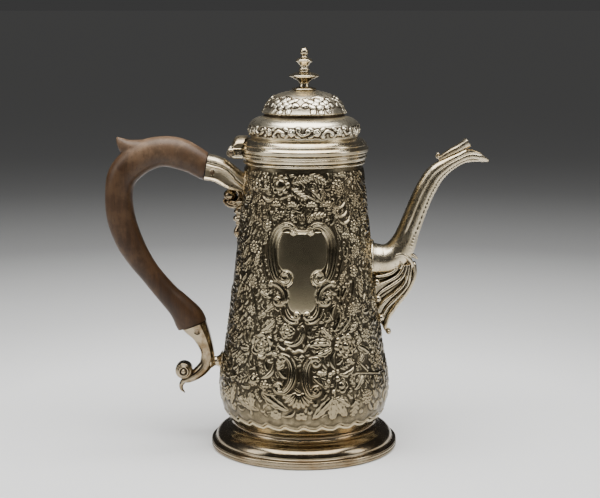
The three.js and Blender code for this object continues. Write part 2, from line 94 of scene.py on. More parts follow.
HANDLE_LINE = [
    (-56, 178.4, 8, 8), (-62, 180.2, 8.4, 8.1), (-70.5, 185.1, 9, 8.5), (-79.5, 188.8, 9.8, 8.8),
    (-90, 190, 9.6, 9), (-101, 187, 10, 9), (-110, 180.7, 9.9, 9), (-115.4, 173.4, 9.4, 9),
    (-117.4, 163, 8.7, 9), (-116.4, 148, 8.9, 8.8), (-111.5, 133, 8.6, 8.5), (-105, 121.2, 7.5, 8),
    (-96.8, 109.8, 6.6, 7.6), (-87.3, 98.3, 7, 7.5), (-79, 89.5, 8.2, 7.8), (-73.5, 81.6, 9.9, 8),
    (-69.5, 72, 9, 7.8),
]
THUMB_REST_LINE = [
    (-93, 190.4, 8.4, 8), (-101, 190.2, 7.4, 7.6), (-107.5, 191, 6.6, 6.2), (-112.5, 193.2, 5, 4.6),
    (-115.8, 196.2, 3, 3), (-118.2, 199, 0.6, 0.8),
]

# The faces where wood meets socket, each as the two ends of its line in the XZ plane.
UPPER_JOINT = ((-60.4, 188.6), (-63.5, 171.4))
LOWER_JOINT = ((-62.6, 81.7), (-79.2, 75.3))

UPPER_SOCKET_LINE = [
    (-64.4, 180.9, 8.4, 8.1), (-61.8, 180.4, 8.3, 8.3), (-57.2, 179.6, 8.1, 8.6),
    (-52.7, 177.9, 7.8, 8.9), (-48.5, 175.2, 7.5, 9.1), (-44.2, 172.6, 6.8, 9.3),
    (-37.7, 170.6, 5.4, 9.4),
]
LOWER_SOCKET_LINE = [
    (-72.4, 82, 8.8, 8.2), (-70.1, 77.9, 7.9, 7.8), (-66.5, 72, 5.9, 6.8), (-63.7, 65.5, 4.7, 5.8),
    (-62.4, 60.8, 4.3, 5.2), (-62.3, 56.2, 4.4, 5), (-64, 51.2, 4.1, 5), (-69, 46.2, 3.6, 5),
    (-74.4, 43.2, 3, 4.6),
]
UPPER_PIN = (-57.6, 177.6)
LOWER_PIN = (-68.4, 74.8)

SPOUT_LINE = [
    (38, 121, 13.5, 12.5), (46, 120.5, 10.6, 11.2), (52, 120.6, 10, 10), (58.4, 124, 9.4, 9),
    (63.2, 131, 8.2, 8), (66.6, 140, 7, 7.2), (72.8, 156.5, 6.5, 6.5), (77.6, 167.2, 6.4, 6),
    (83.2, 175.9, 6, 5.4), (90.8, 181.8, 4.8, 4.8), (98.2, 186, 4.3, 4.8), (104.5, 188.4, 5, 5),
    (110.5, 187.8, 4.6, 5), (114, 186, 3, 4), (116.4, 184.4, 1.2, 2.2),
]
SPOUT_WALL = 1.2

# ----------------------------------------------------------------------------------------------------
# Curves
# ----------------------------------------------------------------------------------------------------

# How many points a centre line is drawn with before sections are placed along it.
LINE_POINTS = 400


def smooth(control, count, even=False):
    """`count` points along a smooth curve through the control points. `even` gives the uniform form of
    the curve that the turned outlines use; otherwise the knots follow the distances."""
    control = np.asarray(control, float)
    if even:
        padded = np.vstack([control[0], control, control[-1]])
    else:
        padded = np.vstack([2 * control[0] - control[1], control, 2 * control[-1] - control[-2]])
    position = np.linspace(0, len(control) - 1, count)
    piece = np.minimum(position.astype(int), len(control) - 2)
    share = (position - piece)[:, None]
    before, start, end, after = (padded[piece + k] for k in range(4))
    if even:
        leave, arrive = (end - before) / 2, (after - start) / 2
    else:
        knots = [np.maximum(np.linalg.norm(b - a, axis=1), 1e-4)[:, None] ** 0.5
                 for a, b in ((before, start), (start, end), (end, after))]
        leave = ((start - before) / knots[0] - (end - before) / (knots[0] + knots[1])
                 + (end - start) / knots[1]) * knots[1]
        arrive = ((end - start) / knots[1] - (after - start) / (knots[1] + knots[2])
                  + (after - end) / knots[2]) * knots[1]
    square = 3 * end - 3 * start - 2 * leave - arrive
    cube = 2 * start - 2 * end + leave + arrive
    return start + leave * share + square * share ** 2 + cube * share ** 3


def arc(centre, radius, start, end, steps):
    """Points of an arc in the (radius, height) plane; angles in degrees from the outward direction."""
    angles = np.radians(np.linspace(start, end, steps + 1))
    return [(centre[0] + radius * math.cos(a), centre[1] + radius * math.sin(a)) for a in angles]


def respaced(points, spacing):
    """The same line, with points at nearly equal distances."""
    points = np.asarray(points, float)
    length = np.concatenate([[0], np.cumsum(np.linalg.norm(np.diff(points, axis=0), axis=1))])
    count = max(2, int(round(length[-1] / spacing)) + 1)
    wanted = np.linspace(0, length[-1], count)
    return np.stack([np.interp(wanted, length, points[:, k]) for k in range(points.shape[1])], 1)


def eased(outline, radius, steps=4, closed=True, least_turn=18):
    """The outline with each of its sharp corners rounded off to about the given radius."""
    points = [np.array(p, float) for p in outline]
    count = len(points)
    out = []
    for i, here in enumerate(points):
        if not closed and i in (0, count - 1):
            out.append(here)
            continue
        back, ahead = points[i - 1] - here, points[(i + 1) % count] - here
        reach_back, reach_ahead = np.linalg.norm(back), np.linalg.norm(ahead)
        if min(reach_back, reach_ahead) < 1e-6:
            continue
        back, ahead = back / reach_back, ahead / reach_ahead
        turn = 180 - math.degrees(math.acos(float(np.clip(back @ ahead, -1, 1))))
        if turn < least_turn:
            out.append(here)
            continue
        reach = min(radius, 0.45 * reach_back, 0.45 * reach_ahead)
        start, end = here + back * reach, here + ahead * reach
        for k in range(steps + 1):
            t = k / steps
            out.append((1 - t) ** 2 * start + 2 * t * (1 - t) * here + t ** 2 * end)
    return out


# ----------------------------------------------------------------------------------------------------
# Shapes: each is (vertices in millimetres about the pot's axis, faces)
# ----------------------------------------------------------------------------------------------------


def quads(rows, columns, wrap_rows=False):
    """Faces of a grid whose columns join up; wrap_rows also joins the last row to the first."""
    last = rows if wrap_rows else rows - 1
    row, column = np.meshgrid(np.arange(last), np.arange(columns), indexing="ij")
    above, beside = (row + 1) % rows, (column + 1) % columns
    corners = [
        row * columns + column, row * columns + beside, above * columns + beside,
        above * columns + column,
    ]
    return np.stack(corners, -1).reshape(-1, 4)


def round_angles(count):
    return np.arange(count) * 2 * math.pi / count


def around(radius, height, columns):
    """Points at the given radius and height round the axis, one row for each pair."""
    angle = round_angles(columns)[None, :]
    radius, height = np.asarray(radius, float), np.asarray(height, float)
    if radius.ndim == 1:
        radius, height = radius[:, None], height[:, None]
    x = radius * np.sin(angle)
    y = -radius * np.cos(angle)
    return np.stack([x, y, height + 0 * x], -1).reshape(-1, 3)


def ring(outline, columns=192):
    """A turned ring whose outline runs up the outside and back down the inside."""
    radius, height = np.array(outline, float).T
    return around(radius, height, columns), quads(len(radius), columns, wrap_rows=True)


def turned(outline, columns):
    """A turned solid: the outline starts and ends on the axis and runs up the outside between."""
    radius, height = np.array(outline, float).T
    vertices = around(radius[1:-1], height[1:-1], columns)
    return closed_rows(vertices, len(radius) - 2, columns, (0, 0, height[0]), (0, 0, height[-1]))


def closed_rows(vertices, rows, columns, start, end):
    """Rows of points closed by a fan at each end."""
    faces = quads(rows, columns).tolist()
    first = len(vertices)
    last_row = (rows - 1) * columns
    for j in range(columns):
        beside = (j + 1) % columns
        faces.append((first, beside, j))
        faces.append((first + 1, last_row + j, last_row + beside))
    return np.vstack([vertices, start, end]), faces


def superellipse(power):
    """A section function: points round a rounded square in units of its half height and half depth."""
    def section(angle, share):
        def rounded(value):
            return np.sign(value) * np.abs(value) ** (2 / power)
        return rounded(np.cos(angle)), rounded(np.sin(angle))
    return section


def loft(line, steps, sides, section=superellipse(2), grow=0.0, span=(0.0, 1.0)):
    """A closed body through sections across a centre line in the XZ plane. A section's first
    coordinate lies in that plane, to the right of the way the line runs, and its second along y."""
    line = np.asarray(line, float)
    fine = smooth(line[:, (0, 1)], LINE_POINTS)
    sizes = smooth(line[:, (2, 3)], LINE_POINTS)
    place = np.linspace(span[0], span[1], steps + 1) * (LINE_POINTS - 1)
    index = np.arange(LINE_POINTS)
    centre = np.stack([np.interp(place, index, fine[:, k]) for k in (0, 1)], 1)
    half = np.stack([np.interp(place, index, sizes[:, k]) for k in (0, 1)], 1)
    tangent = np.gradient(centre, axis=0)
    tangent /= np.linalg.norm(tangent, axis=1)[:, None]
    angle = round_angles(sides)
    vertices = np.zeros((steps + 1, sides, 3))
    for i in range(steps + 1):
        across, along_y = section(angle, place[i] / (LINE_POINTS - 1))
        reach = (half[i, 0] + grow) * across
        vertices[i, :, 0] = centre[i, 0] + tangent[i, 1] * reach
        vertices[i, :, 2] = centre[i, 1] - tangent[i, 0] * reach
        vertices[i, :, 1] = (half[i, 1] + grow) * along_y
    ends = [(centre[k, 0], 0, centre[k, 1]) for k in (0, -1)]
    return closed_rows(vertices.reshape(-1, 3), steps + 1, sides, *ends)


def tube(points, radii, sides, count):
    """A closed tube of changing radius through points in space, with rounded ends."""
    fine = smooth(np.column_stack([points, radii]), count)
    centre, radius = fine[:, :3], fine[:, 3].copy()
    from_end = np.minimum(np.arange(count), np.arange(count)[::-1])
    radius *= np.sqrt(np.clip(1 - (1 - np.clip(from_end / 4, 0, 1)) ** 2, 0.12, 1))
    tangent = np.gradient(centre, axis=0)
    tangent /= np.linalg.norm(tangent, axis=1)[:, None]
    helper = np.array([0.0, 1.0, 0.0])
    first = np.cross(tangent, helper)
    weak = np.linalg.norm(first, axis=1) < 0.1
    first[weak] = np.cross(tangent[weak], np.array([1.0, 0.0, 0.0]))
    first /= np.linalg.norm(first, axis=1)[:, None]
    second = np.cross(tangent, first)
    angle = round_angles(sides)
    cosine, sine = np.cos(angle)[None, :, None], np.sin(angle)[None, :, None]
    offsets = first[:, None, :] * cosine + second[:, None, :] * sine
    vertices = centre[:, None, :] + offsets * radius[:, None, None]
    return closed_rows(vertices.reshape(-1, 3), count, sides, centre[0], centre[-1])


def plate(outline, depth):
    """A plate with the given outline in the XZ plane, `depth` thick along y."""
    outline = np.asarray(outline, float)
    count = len(outline)
    near = np.column_stack([outline[:, 0], np.full(count, -depth / 2), outline[:, 1]])
    far = near * (1, -1, 1)
    faces = [tuple(range(count)), tuple(range(2 * count - 1, count - 1, -1))]
    faces += [(i, count + i, count + (i + 1) % count, (i + 1) % count) for i in range(count)]
    return np.vstack([near, far]), faces


def rod_along_y(x, z, outline, sides=40):
    """A turned piece about an axis along y; the outline is (radius, y)."""
    vertices, faces = turned(outline, sides)
    turned_over = np.column_stack([vertices[:, 0] + x, vertices[:, 2], -vertices[:, 1] + z])
    return turned_over, faces


def ball(centre, radius, sides):
    angles = np.linspace(0, math.pi, sides // 2 + 1)
    outline = [(radius * math.sin(a), -radius * math.cos(a)) for a in angles]
    vertices, faces = turned(outline, sides)
    return vertices + np.asarray(centre, float), faces


def whole_section(half):
    """A section as two lists, from the half of it that runs from one end of its axis to the other."""
    across, depth = np.asarray(half).T
    return np.concatenate([across, across[-2:0:-1]]), np.concatenate([depth, -depth[-2:0:-1]])


def thinned(points, count):
    """`count` of the points, at even steps along the list."""
    return points[np.linspace(0, len(points) - 1, count).round().astype(int)]


def joined(shapes):
    """Several shapes as one."""
    vertices, faces, first = [], [], 0
    for points, sides in shapes:
        vertices.append(points)
        faces += [tuple(int(corner) + first for corner in face) for face in sides]
        first += len(points)
    return np.vstack(vertices), faces


def bun(profile, half, round_part, centre, low, ribs=()):
    """A block with the given outline in the XZ plane, drawn in towards each end along y as a bun is.
    Ribs are (place, width, height) across the drawn-in part, from 0 at its start to 1 at the end."""
    profile = respaced(np.vstack([profile, profile[:1]]), 0.4)[:-1]
    turn = np.linspace(0.10, math.pi / 2, 16)
    first = sorted(-half + round_part * (1 - np.cos(turn)))
    rows = []
    stations = first + [-y for y in reversed(first)]
    for y in stations:
        inward = float(np.clip((abs(y) - (half - round_part)) / round_part, 0, 1))
        rise = math.sqrt(max(1 - inward ** 2, 0.0))
        rib = sum(height * math.exp(-((inward - place) / width) ** 2) for place, width, height in ribs)
        x = centre + (profile[:, 0] - centre) * (0.80 + 0.20 * rise)
        z = low + (profile[:, 1] - low) * (0.15 + 0.85 * rise)
        outwards = np.column_stack([x - centre, z - low])
        outwards /= np.maximum(np.linalg.norm(outwards, axis=1), 1e-6)[:, None]
        x, z = x + rib * outwards[:, 0], z + rib * outwards[:, 1]
        rows.append(np.column_stack([x, np.full(len(x), y), z]))
    return closed_rows(np.vstack(rows), len(rows), len(profile), rows[0].mean(0), rows[-1].mean(0))


# ----------------------------------------------------------------------------------------------------
# Blender objects
# ----------------------------------------------------------------------------------------------------


def make_object(name, shape):
    """A Blender mesh object of the shape, in metres in the row frame."""
    vertices, faces = shape
    placed = (np.asarray(vertices, float) + (AXIS_X, 0, 0)) * MM
    mesh = bpy.data.meshes.new(name)
    mesh.vertices.add(len(placed))
    mesh.vertices.foreach_set("co", placed.astype(np.float32).ravel())
    if isinstance(faces, np.ndarray):
        sizes = np.full(len(faces), faces.shape[1])
        corners = faces.ravel()
    else:
        sizes = np.array([len(face) for face in faces])
        corners = np.array([corner for face in faces for corner in face])
    mesh.loops.add(len(corners))
    mesh.loops.foreach_set("vertex_index", corners.astype(np.int32))
    mesh.polygons.add(len(sizes))
    starts = np.concatenate([[0], np.cumsum(sizes)[:-1]])
    mesh.polygons.foreach_set("loop_start", starts.astype(np.int32))
    mesh.update(calc_edges=True)
    mesh.validate()
    made = bpy.data.objects.new(name, mesh)
    bpy.context.scene.collection.objects.link(made)
    return made


def apply_modifiers(piece):
    depsgraph = bpy.context.evaluated_depsgraph_get()
    result = bpy.data.meshes.new_from_object(piece.evaluated_get(depsgraph))
    piece.modifiers.clear()
    plain = piece.data
    piece.data = result
    bpy.data.meshes.remove(plain)


def remove(piece):
    mesh = piece.data
    bpy.data.objects.remove(piece)
    bpy.data.meshes.remove(mesh)


def boolean(piece, shape, operation="DIFFERENCE"):
    """Cuts the shape out of the piece, or joins it on, and removes the tool."""
    tool = make_object("tool", shape)
    modifier = piece.modifiers.new("cut", "BOOLEAN")
    modifier.operation = operation
    modifier.solver = "EXACT"
    modifier.object = tool
    apply_modifiers(piece)
    remove(tool)


def melt(piece, voxel, smoothing):
    """Joins everything in the piece into one skin with soft fillets where parts meet."""
    remesh = piece.modifiers.new("skin", "REMESH")
    remesh.mode = "VOXEL"
    remesh.voxel_size = voxel * MM
    soften = piece.modifiers.new("soften", "SMOOTH")
    soften.factor = 0.5
    soften.iterations = smoothing
    apply_modifiers(piece)


def mesh_arrays(mesh):
    points = np.zeros(len(mesh.vertices) * 3, np.float32)
    normals = np.zeros(len(mesh.vertices) * 3, np.float32)
    edges = np.zeros(len(mesh.edges) * 2, np.int32)
    mesh.vertices.foreach_get("co", points)
    mesh.vertex_normals.foreach_get("vector", normals)
    mesh.edges.foreach_get("vertices", edges)
    return points.reshape(-1, 3), normals.reshape(-1, 3), edges.reshape(-1, 2)


def store(piece, name, values):
    attribute = piece.data.attributes.new(name, "FLOAT", "POINT")
    attribute.data.foreach_set("value", np.asarray(values, np.float32).ravel())


def hollowness(piece, reach):
    """How hollow the surface is at each vertex, from 0 on flats and ridges to 1 in a tight hollow."""
    points, normals, edges = mesh_arrays(piece.data)
    a, b = edges.T
    step = points[b] - points[a]
    length = np.maximum(np.linalg.norm(step, axis=1), 1e-7)
    bend = np.zeros(len(points))
    weight = np.zeros(len(points))
    rise_a = np.einsum("ij,ij->i", normals[a], step) / length ** 2
    rise_b = -np.einsum("ij,ij->i", normals[b], step) / length ** 2
    np.add.at(bend, a, rise_a * length)
    np.add.at(bend, b, rise_b * length)
    np.add.at(weight, a, length)
    np.add.at(weight, b, length)
    bend /= np.maximum(weight, 1e-9)
    for _ in range(3):
        total, count = bend.copy(), np.ones(len(points))
        np.add.at(total, a, bend[b])
        np.add.at(total, b, bend[a])
        np.add.at(count, a, 1)
        np.add.at(count, b, 1)
        bend = total / count
    return np.clip(bend * reach * MM, 0, 1)


BODY_OF = {node: body for body, nodes in frame["record"]["behaviour"]["bodies"].items() for node in nodes}


def flip_if_inside_out(piece):
    """Turns every face over if the piece's volume comes out negative."""
    mesh = bmesh.new()
    mesh.from_mesh(piece.data)
    if mesh.calc_volume(signed=True) < 0:
        bmesh.ops.reverse_faces(mesh, faces=mesh.faces)
        mesh.to_mesh(piece.data)
    mesh.free()


def finish_piece(piece, node, material, edge_angle=38, tarnish_and_painted_shade=True, reach=1.2):
    """Puts a finished piece in its CAD node's place, on the same body and with the given material."""
    piece.data.shade_smooth()
    piece.data.set_sharp_from_angle(angle=math.radians(edge_angle))
    # Stores how hollow each vertex is, which the silver turns into tarnish and painted shade.
    if tarnish_and_painted_shade and "tarnish_and_painted_shade" not in piece.data.attributes:
        store(piece, "tarnish_and_painted_shade", hollowness(piece, reach))
    piece.data.materials.clear()
    piece.data.materials.append(material)
    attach(piece, BODY_OF[node])
    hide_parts(node)
    return piece


def finished(node, shape, material, **options):
    return finish_piece(make_object(node + "_finished", shape), node, material, **options)


# ----------------------------------------------------------------------------------------------------
# Materials
# ----------------------------------------------------------------------------------------------------


class Nodes:
    """Short names for building a material's node tree."""

    def __init__(self, name):
        self.material = bpy.data.materials.new(name)
        self.material.use_nodes = True
        self.tree = self.material.node_tree
        self.shader = self.tree.nodes["Principled BSDF"]
        self.place = self.tree.nodes.new("ShaderNodeTexCoord").outputs["Object"]

    def link(self, value, socket):
        if isinstance(value, bpy.types.NodeSocket):
            self.tree.links.new(value, socket)
        else:
            socket.default_value = value

    def stretched(self, scale):
        node = self.tree.nodes.new("ShaderNodeMapping")
        node.inputs["Scale"].default_value = scale
        self.link(self.place, node.inputs["Vector"])
        return node.outputs["Vector"]

    def noise(self, size, detail, roughness=0.5, stretch=None, distortion=0.0):
        """Noise whose features are about `size` millimetres across."""
        node = self.tree.nodes.new("ShaderNodeTexNoise")
        self.link(self.stretched(stretch) if stretch else self.place, node.inputs["Vector"])
        node.inputs["Scale"].default_value = 1 / (size * MM)
        node.inputs["Detail"].default_value = detail
        node.inputs["Roughness"].default_value = roughness
        node.inputs["Distortion"].default_value = distortion
        return node.outputs["Fac"]

    def cells(self, size):
        """Distance from the middles of small cells about `size` millimetres across."""
        node = self.tree.nodes.new("ShaderNodeTexVoronoi")
        self.link(self.place, node.inputs["Vector"])
        node.inputs["Scale"].default_value = 1 / (size * MM)
        return node.outputs["Distance"]

    def attribute(self, name):
        node = self.tree.nodes.new("ShaderNodeAttribute")
        node.attribute_name = name
        return node.outputs["Fac"]

    def height(self):
        """The height above the table, in metres."""
        node = self.tree.nodes.new("ShaderNodeSeparateXYZ")
        self.link(self.place, node.inputs[0])
        return node.outputs["Z"]

    def maths(self, operation, first, second):
        node = self.tree.nodes.new("ShaderNodeMath")
        node.operation = operation
        self.link(first, node.inputs[0])
        self.link(second, node.inputs[1])
        return node.outputs[0]

    def spread(self, value, low, high, to_low=0.0, to_high=1.0):
        """Maps low..high to to_low..to_high with soft ends."""
        node = self.tree.nodes.new("ShaderNodeMapRange")
        node.interpolation_type = "SMOOTHSTEP"
        self.link(value, node.inputs["Value"])
        ends = {"From Min": low, "From Max": high, "To Min": to_low, "To Max": to_high}
        for socket, number in ends.items():
            node.inputs[socket].default_value = number
        return node.outputs["Result"]

    def mix(self, factor, first, second):
        node = self.tree.nodes.new("ShaderNodeMix")
        node.data_type = "RGBA"
        self.link(factor, node.inputs["Factor"])
        self.link(colour(first), node.inputs["A"])
        self.link(colour(second), node.inputs["B"])
        return node.outputs["Result"]

    def bump(self, height, depth, normal=None):
        """A bump of `depth` millimetres."""
        node = self.tree.nodes.new("ShaderNodeBump")
        node.inputs["Strength"].default_value = 1.0
        node.inputs["Distance"].default_value = depth * MM
        self.link(height, node.inputs["Height"])
        if normal is not None:
            self.link(normal, node.inputs["Normal"])
        return node.outputs["Normal"]

    def finish(self, **sockets):
        for socket, value in sockets.items():
            self.link(value, self.shader.inputs[socket.replace("_", " ")])
        return self.material


def colour(value):
    return (*value, 1.0) if isinstance(value, tuple) else value


def silver(name, bright, warm, dark, polish, hollow_darkening=1.0, cloud=26):
    """Worn silver: bright on the ridges, warm tarnish in clouds, dark in the hollows with tarnish and painted
    shade.
    """
    n = Nodes(name)
    clouds = n.spread(n.noise(cloud, 5, 0.6), 0.42, 0.66)
    specks = n.noise(2.4, 4, 0.6)
    surface = n.mix(clouds, bright, warm)
    # Tarnish and painted shade in the hollows, with random specks.
    tarnish_and_painted_shade = n.maths("MULTIPLY", n.attribute("tarnish_and_painted_shade"), hollow_darkening)
    tarnish_and_painted_shade = n.maths("ADD", tarnish_and_painted_shade, n.maths("MULTIPLY", n.maths("SUBTRACT", specks, 0.5), 0.5))
    tarnish_and_painted_shade = n.spread(tarnish_and_painted_shade, 0.12, 0.85)
    base = n.mix(tarnish_and_painted_shade, surface, dark)
    wear = n.noise(7, 6, 0.7)
    roughness = n.spread(wear, 0.3, 0.75, polish, polish + 0.13)
    roughness = n.maths("ADD", roughness, n.maths("MULTIPLY", tarnish_and_painted_shade, 0.3))
    fine = n.noise(0.9, 3, 0.6)
    dents = n.noise(9, 2, 0.5)
    normal = n.bump(dents, 0.10)
    normal = n.bump(fine, 0.012, normal)
    return n.finish(Base_Color=base, Metallic=1.0, Roughness=roughness, Normal=normal)


def chased_silver(name, bright, warm, dark, smooth_part, polish):
    """Silver under relief: matted with fine punch marks between the motifs, warmer near the foot, and of
    another colour where the relief says it is plain."""
    n = Nodes(name)
    low_down = n.spread(n.height(), 0.062, 0.030)
    clouds = n.spread(n.noise(30, 5, 0.6), 0.4, 0.68)
    plain = n.attribute("plain")
    uneven = n.maths("SUBTRACT", 1.0, n.maths("MULTIPLY", plain, 0.75))
    specks = n.maths("MULTIPLY", n.maths("SUBTRACT", n.noise(1.6, 5, 0.65), 0.5), 0.4)
    surface = n.mix(clouds, bright, warm)
    surface = n.mix(n.maths("MULTIPLY", low_down, 0.75), surface, warm)
    surface = n.mix(n.maths("MULTIPLY", plain, 0.9), surface, smooth_part)
    # Tarnish and painted shade in the hollows and on the low ground, with random specks on the matted parts.
    tarnish_and_painted_shade = n.maths("ADD", n.attribute("tarnish_and_painted_shade"), n.maths("MULTIPLY", specks, uneven))
    tarnish_and_painted_shade = n.spread(tarnish_and_painted_shade, 0.08, 0.95)
    base = n.mix(tarnish_and_painted_shade, surface, dark)
    wear = n.spread(n.noise(5, 6, 0.7), 0.3, 0.75, 0.0, 0.12)
    roughness = n.maths("ADD", n.maths("MULTIPLY", wear, uneven), polish)
    roughness = n.maths("ADD", roughness, n.maths("MULTIPLY", tarnish_and_painted_shade, 0.25))
    roughness = n.maths("ADD", roughness, n.maths("MULTIPLY", plain, 0.08))
    matting = n.attribute("matting")
    punched = n.maths("MULTIPLY", n.maths("MINIMUM", n.cells(0.8), 0.55), matting)
    normal = n.bump(punched, 0.12)
    normal = n.bump(n.noise(0.8, 3, 0.6), 0.012, normal)
    return n.finish(Base_Color=base, Metallic=1.0, Roughness=roughness, Normal=normal)


def fruitwood(name):
    """Old fruitwood, sawn with its grain upright, with pale patches and painted light that makes its top
    paler.
    """
    n = Nodes(name)
    rings = n.noise(6.5, 4, 0.6, stretch=(1, 1, 0.11), distortion=0.8)
    grain = n.noise(1.1, 6, 0.7, stretch=(1, 1, 0.045))
    pores = n.noise(0.5, 3, 0.5, stretch=(1, 1, 0.07))
    patches = n.spread(n.noise(17, 4, 0.65), 0.45, 0.68)
    base = n.mix(n.spread(rings, 0.3, 0.7), (0.031, 0.0138, 0.0048), (0.070, 0.033, 0.0125))
    base = n.mix(n.spread(grain, 0.35, 0.75, 0.0, 0.6), base, (0.026, 0.011, 0.004))
    # Painted light: the wood is made paler towards its top, where the light from above falls.
    painted_top_light = n.spread(n.height(), 0.178, 0.203, 0.0, 0.75)
    base = n.mix(n.maths("MULTIPLY", patches, 0.4), base, (0.125, 0.07, 0.034))
    base = n.mix(n.maths("MULTIPLY", n.maths("ADD", patches, 0.6), painted_top_light), base, (0.25, 0.16, 0.095))
    base = n.mix(n.spread(pores, 0.60, 0.72, 0.0, 0.65), base, (0.014, 0.006, 0.003))
    roughness = n.spread(n.noise(3, 5, 0.7), 0.3, 0.75, 0.42, 0.58)
    relief = n.maths("ADD", grain, n.spread(pores, 0.6, 0.72, 0.0, -0.6))
    normal = n.bump(relief, 0.07)
    n.shader.inputs["Specular IOR Level"].default_value = 0.22
    n.shader.inputs["Coat Weight"].default_value = 0.24
    n.shader.inputs["Coat Roughness"].default_value = 0.36
    return n.finish(Base_Color=base, Roughness=roughness, Normal=normal)


# The colour of the tarnish and painted shade in the hollows.
DARK = (0.06, 0.042, 0.024)
# Lit and shaded copies of one chased silver. The body's colour is darkened, partly for tarnish and partly as
# painted shade, and the lid's is painted bright as painted light.
CHASED_PAINTED_DARK = chased_silver(
    "chased_silver", (0.33, 0.280, 0.183), (0.245, 0.195, 0.118), (0.050, 0.040, 0.025),
    smooth_part=(0.56, 0.475, 0.305), polish=0.12)
CHASED_LID_PAINTED_BRIGHT = chased_silver(
    "chased_silver_lid_painted_bright", (0.90, 0.81, 0.62), (0.75, 0.65, 0.46), DARK,
    smooth_part=(0.88, 0.79, 0.60), polish=0.20)
PLAIN = silver("plain_silver", (0.72, 0.63, 0.46), (0.52, 0.42, 0.26), DARK, polish=0.17, hollow_darkening=1.3)
FOOT = silver("foot_silver", (0.30, 0.245, 0.165), (0.225, 0.155, 0.083), (0.03, 0.021, 0.012), polish=0.14)
CAST = silver("cast_silver", (0.64, 0.555, 0.40), (0.48, 0.385, 0.25), DARK, polish=0.20, hollow_darkening=1.3)
SPOUT = silver("spout_silver", (0.66, 0.57, 0.41), (0.46, 0.37, 0.225), DARK, polish=0.21, hollow_darkening=1.3)
SATIN = silver("satin_silver", (0.60, 0.515, 0.37), (0.44, 0.35, 0.215), DARK, polish=0.25, hollow_darkening=1.2)
AGED = silver(
    "aged_silver", (0.39, 0.32, 0.215), (0.18, 0.12, 0.062), (0.03, 0.022, 0.013),
    polish=0.17, hollow_darkening=1.3, cloud=9)
SHELL = silver(
    "shell_silver", (0.60, 0.515, 0.37), (0.46, 0.37, 0.23), (0.045, 0.034, 0.02), polish=0.20, hollow_darkening=1.3)
PIN = silver("pin_silver", (0.26, 0.20, 0.135), (0.15, 0.10, 0.06), (0.03, 0.02, 0.012), polish=0.28)
WOOD = fruitwood("fruitwood")

# ----------------------------------------------------------------------------------------------------
# Turned pieces
# ----------------------------------------------------------------------------------------------------


def body_curve():
    """The outside of the body from its foot to its mouth."""
    wall = smooth(BODY_OUTLINE, 12 * len(BODY_OUTLINE) + 1, even=True)
    return np.vstack([wall, (MOUTH_RADIUS, 182.5), (MOUTH_RADIUS, MOUTH_TOP)])


def body_radius(height):
    curve = body_curve()
    return np.interp(height, curve[:, 1], curve[:, 0])


def body_space(low, high, inset):
    """The inside of the body, out to a little under its outer face."""
    curve = respaced(body_curve(), 3.0)
    curve = curve[(curve[:, 1] > low) & (curve[:, 1] < high)] - (inset, 0)
    return turned([(0, low), *map(tuple, curve), (0, high)], 128)


def make_foot():
    edge = [
        (56, 0), (59.3, 0), (60, 0.7), (60, 1.7), (59.7, 1.85), (59.7, 2.15), (60, 2.3), (60, 3.4),
        (59.6, 3.6), (59.6, 3.85), (59.9, 4.0), (59.6, 4.6), (59, FOOT_EDGE_HEIGHT),
        (56, FOOT_EDGE_HEIGHT),
    ]
    finished("foot_edge", ring(eased(edge, 0.3)), FOOT)
    top = [
        (57.4, FOOT_EDGE_HEIGHT), (57.5, 5.3), (57.1, 5.6), *arc((50.6, 5), 6.6, 12, 82, 16),
        (50.4, 12.0), (49.6, 12.2), *arc((49.2, 16.7), 4, -98, -155, 12),
    ]
    under = [(44.3, 14.2), (48.4, 11.4), (52.6, 9.8), (55.2, 7), (55.8, FOOT_EDGE_HEIGHT)]
    finished("foot_moulding", ring(eased(top + under, 0.3)), FOOT)
    middle = (FOOT_TOP + COLLAR_TOP) / 2
    bead = arc((45.1, middle), (COLLAR_TOP - FOOT_TOP) / 2, -90, 90, 12)
    finished("foot_collar", ring([(43, FOOT_TOP), *bead, (43, COLLAR_TOP)]), FOOT)
    rim = FOOT_RING_RADIUS - METAL - 0.1
    floor = [(0, 19.4), (26, 18.4), (rim, COLLAR_TOP), (rim, 17.9), (26, 19.4), (0, 20.4)]
    dome = np.vstack([smooth(floor[:3], 24), smooth(floor[3:], 24)])
    finished("body_base", turned(dome, 128), PLAIN)


def make_mouth():
    inner = MOUTH_RADIUS + 0.1
    wire = [(inner, 182.9), *arc((37.7, 183.8), 0.9, -90, 90, 12), (inner, 184.7)]
    finished("mouth_wire", ring(wire), PLAIN)
    face = [
        (inner, 185.3), (38.2, 185.3), (38.7, 185.9), (38.9, 186.6), (39.6, 187.0), (39.6, 187.9),
        (39.35, 188.2), (39.35, 188.9), (39.6, 189.2), (39.6, MOUTH_TOP), (inner, MOUTH_TOP),
    ]
    finished("mouth_moulding", ring(eased(face, 0.25)), PLAIN)


def make_lid_rings():
    face = [
        (38.9, LID_BOTTOM), (39.9, LID_BOTTOM + 0.1), (40.4, 190.9), (40.5, 191.6),
        *arc((39.3, 192.4), 1.35, -25, 60, 8), (39.5, 194.2), (39.0, 194.6), (39.5, 195.0), (39.3, 195.9),
        (38.6, 196.2), *arc((34.6, 194.6), 4.1, 24, 85, 12), (34.2, LID_STEP - 0.1),
    ]
    inside = [(32.4, LID_STEP - 0.1), (32.4, 198), (35.0, 198), (35.0, LID_BOTTOM)]
    finished("lid_moulding", ring(eased(face + inside, 0.25)), PLAIN)
    bezel = [(33.9, 184.6), (34.6, 184.6), (34.9, 186), (34.9, 197.9), (33.9, 197.9)]
    finished("lid_bezel", ring(eased(bezel, 0.25), 128), PLAIN)


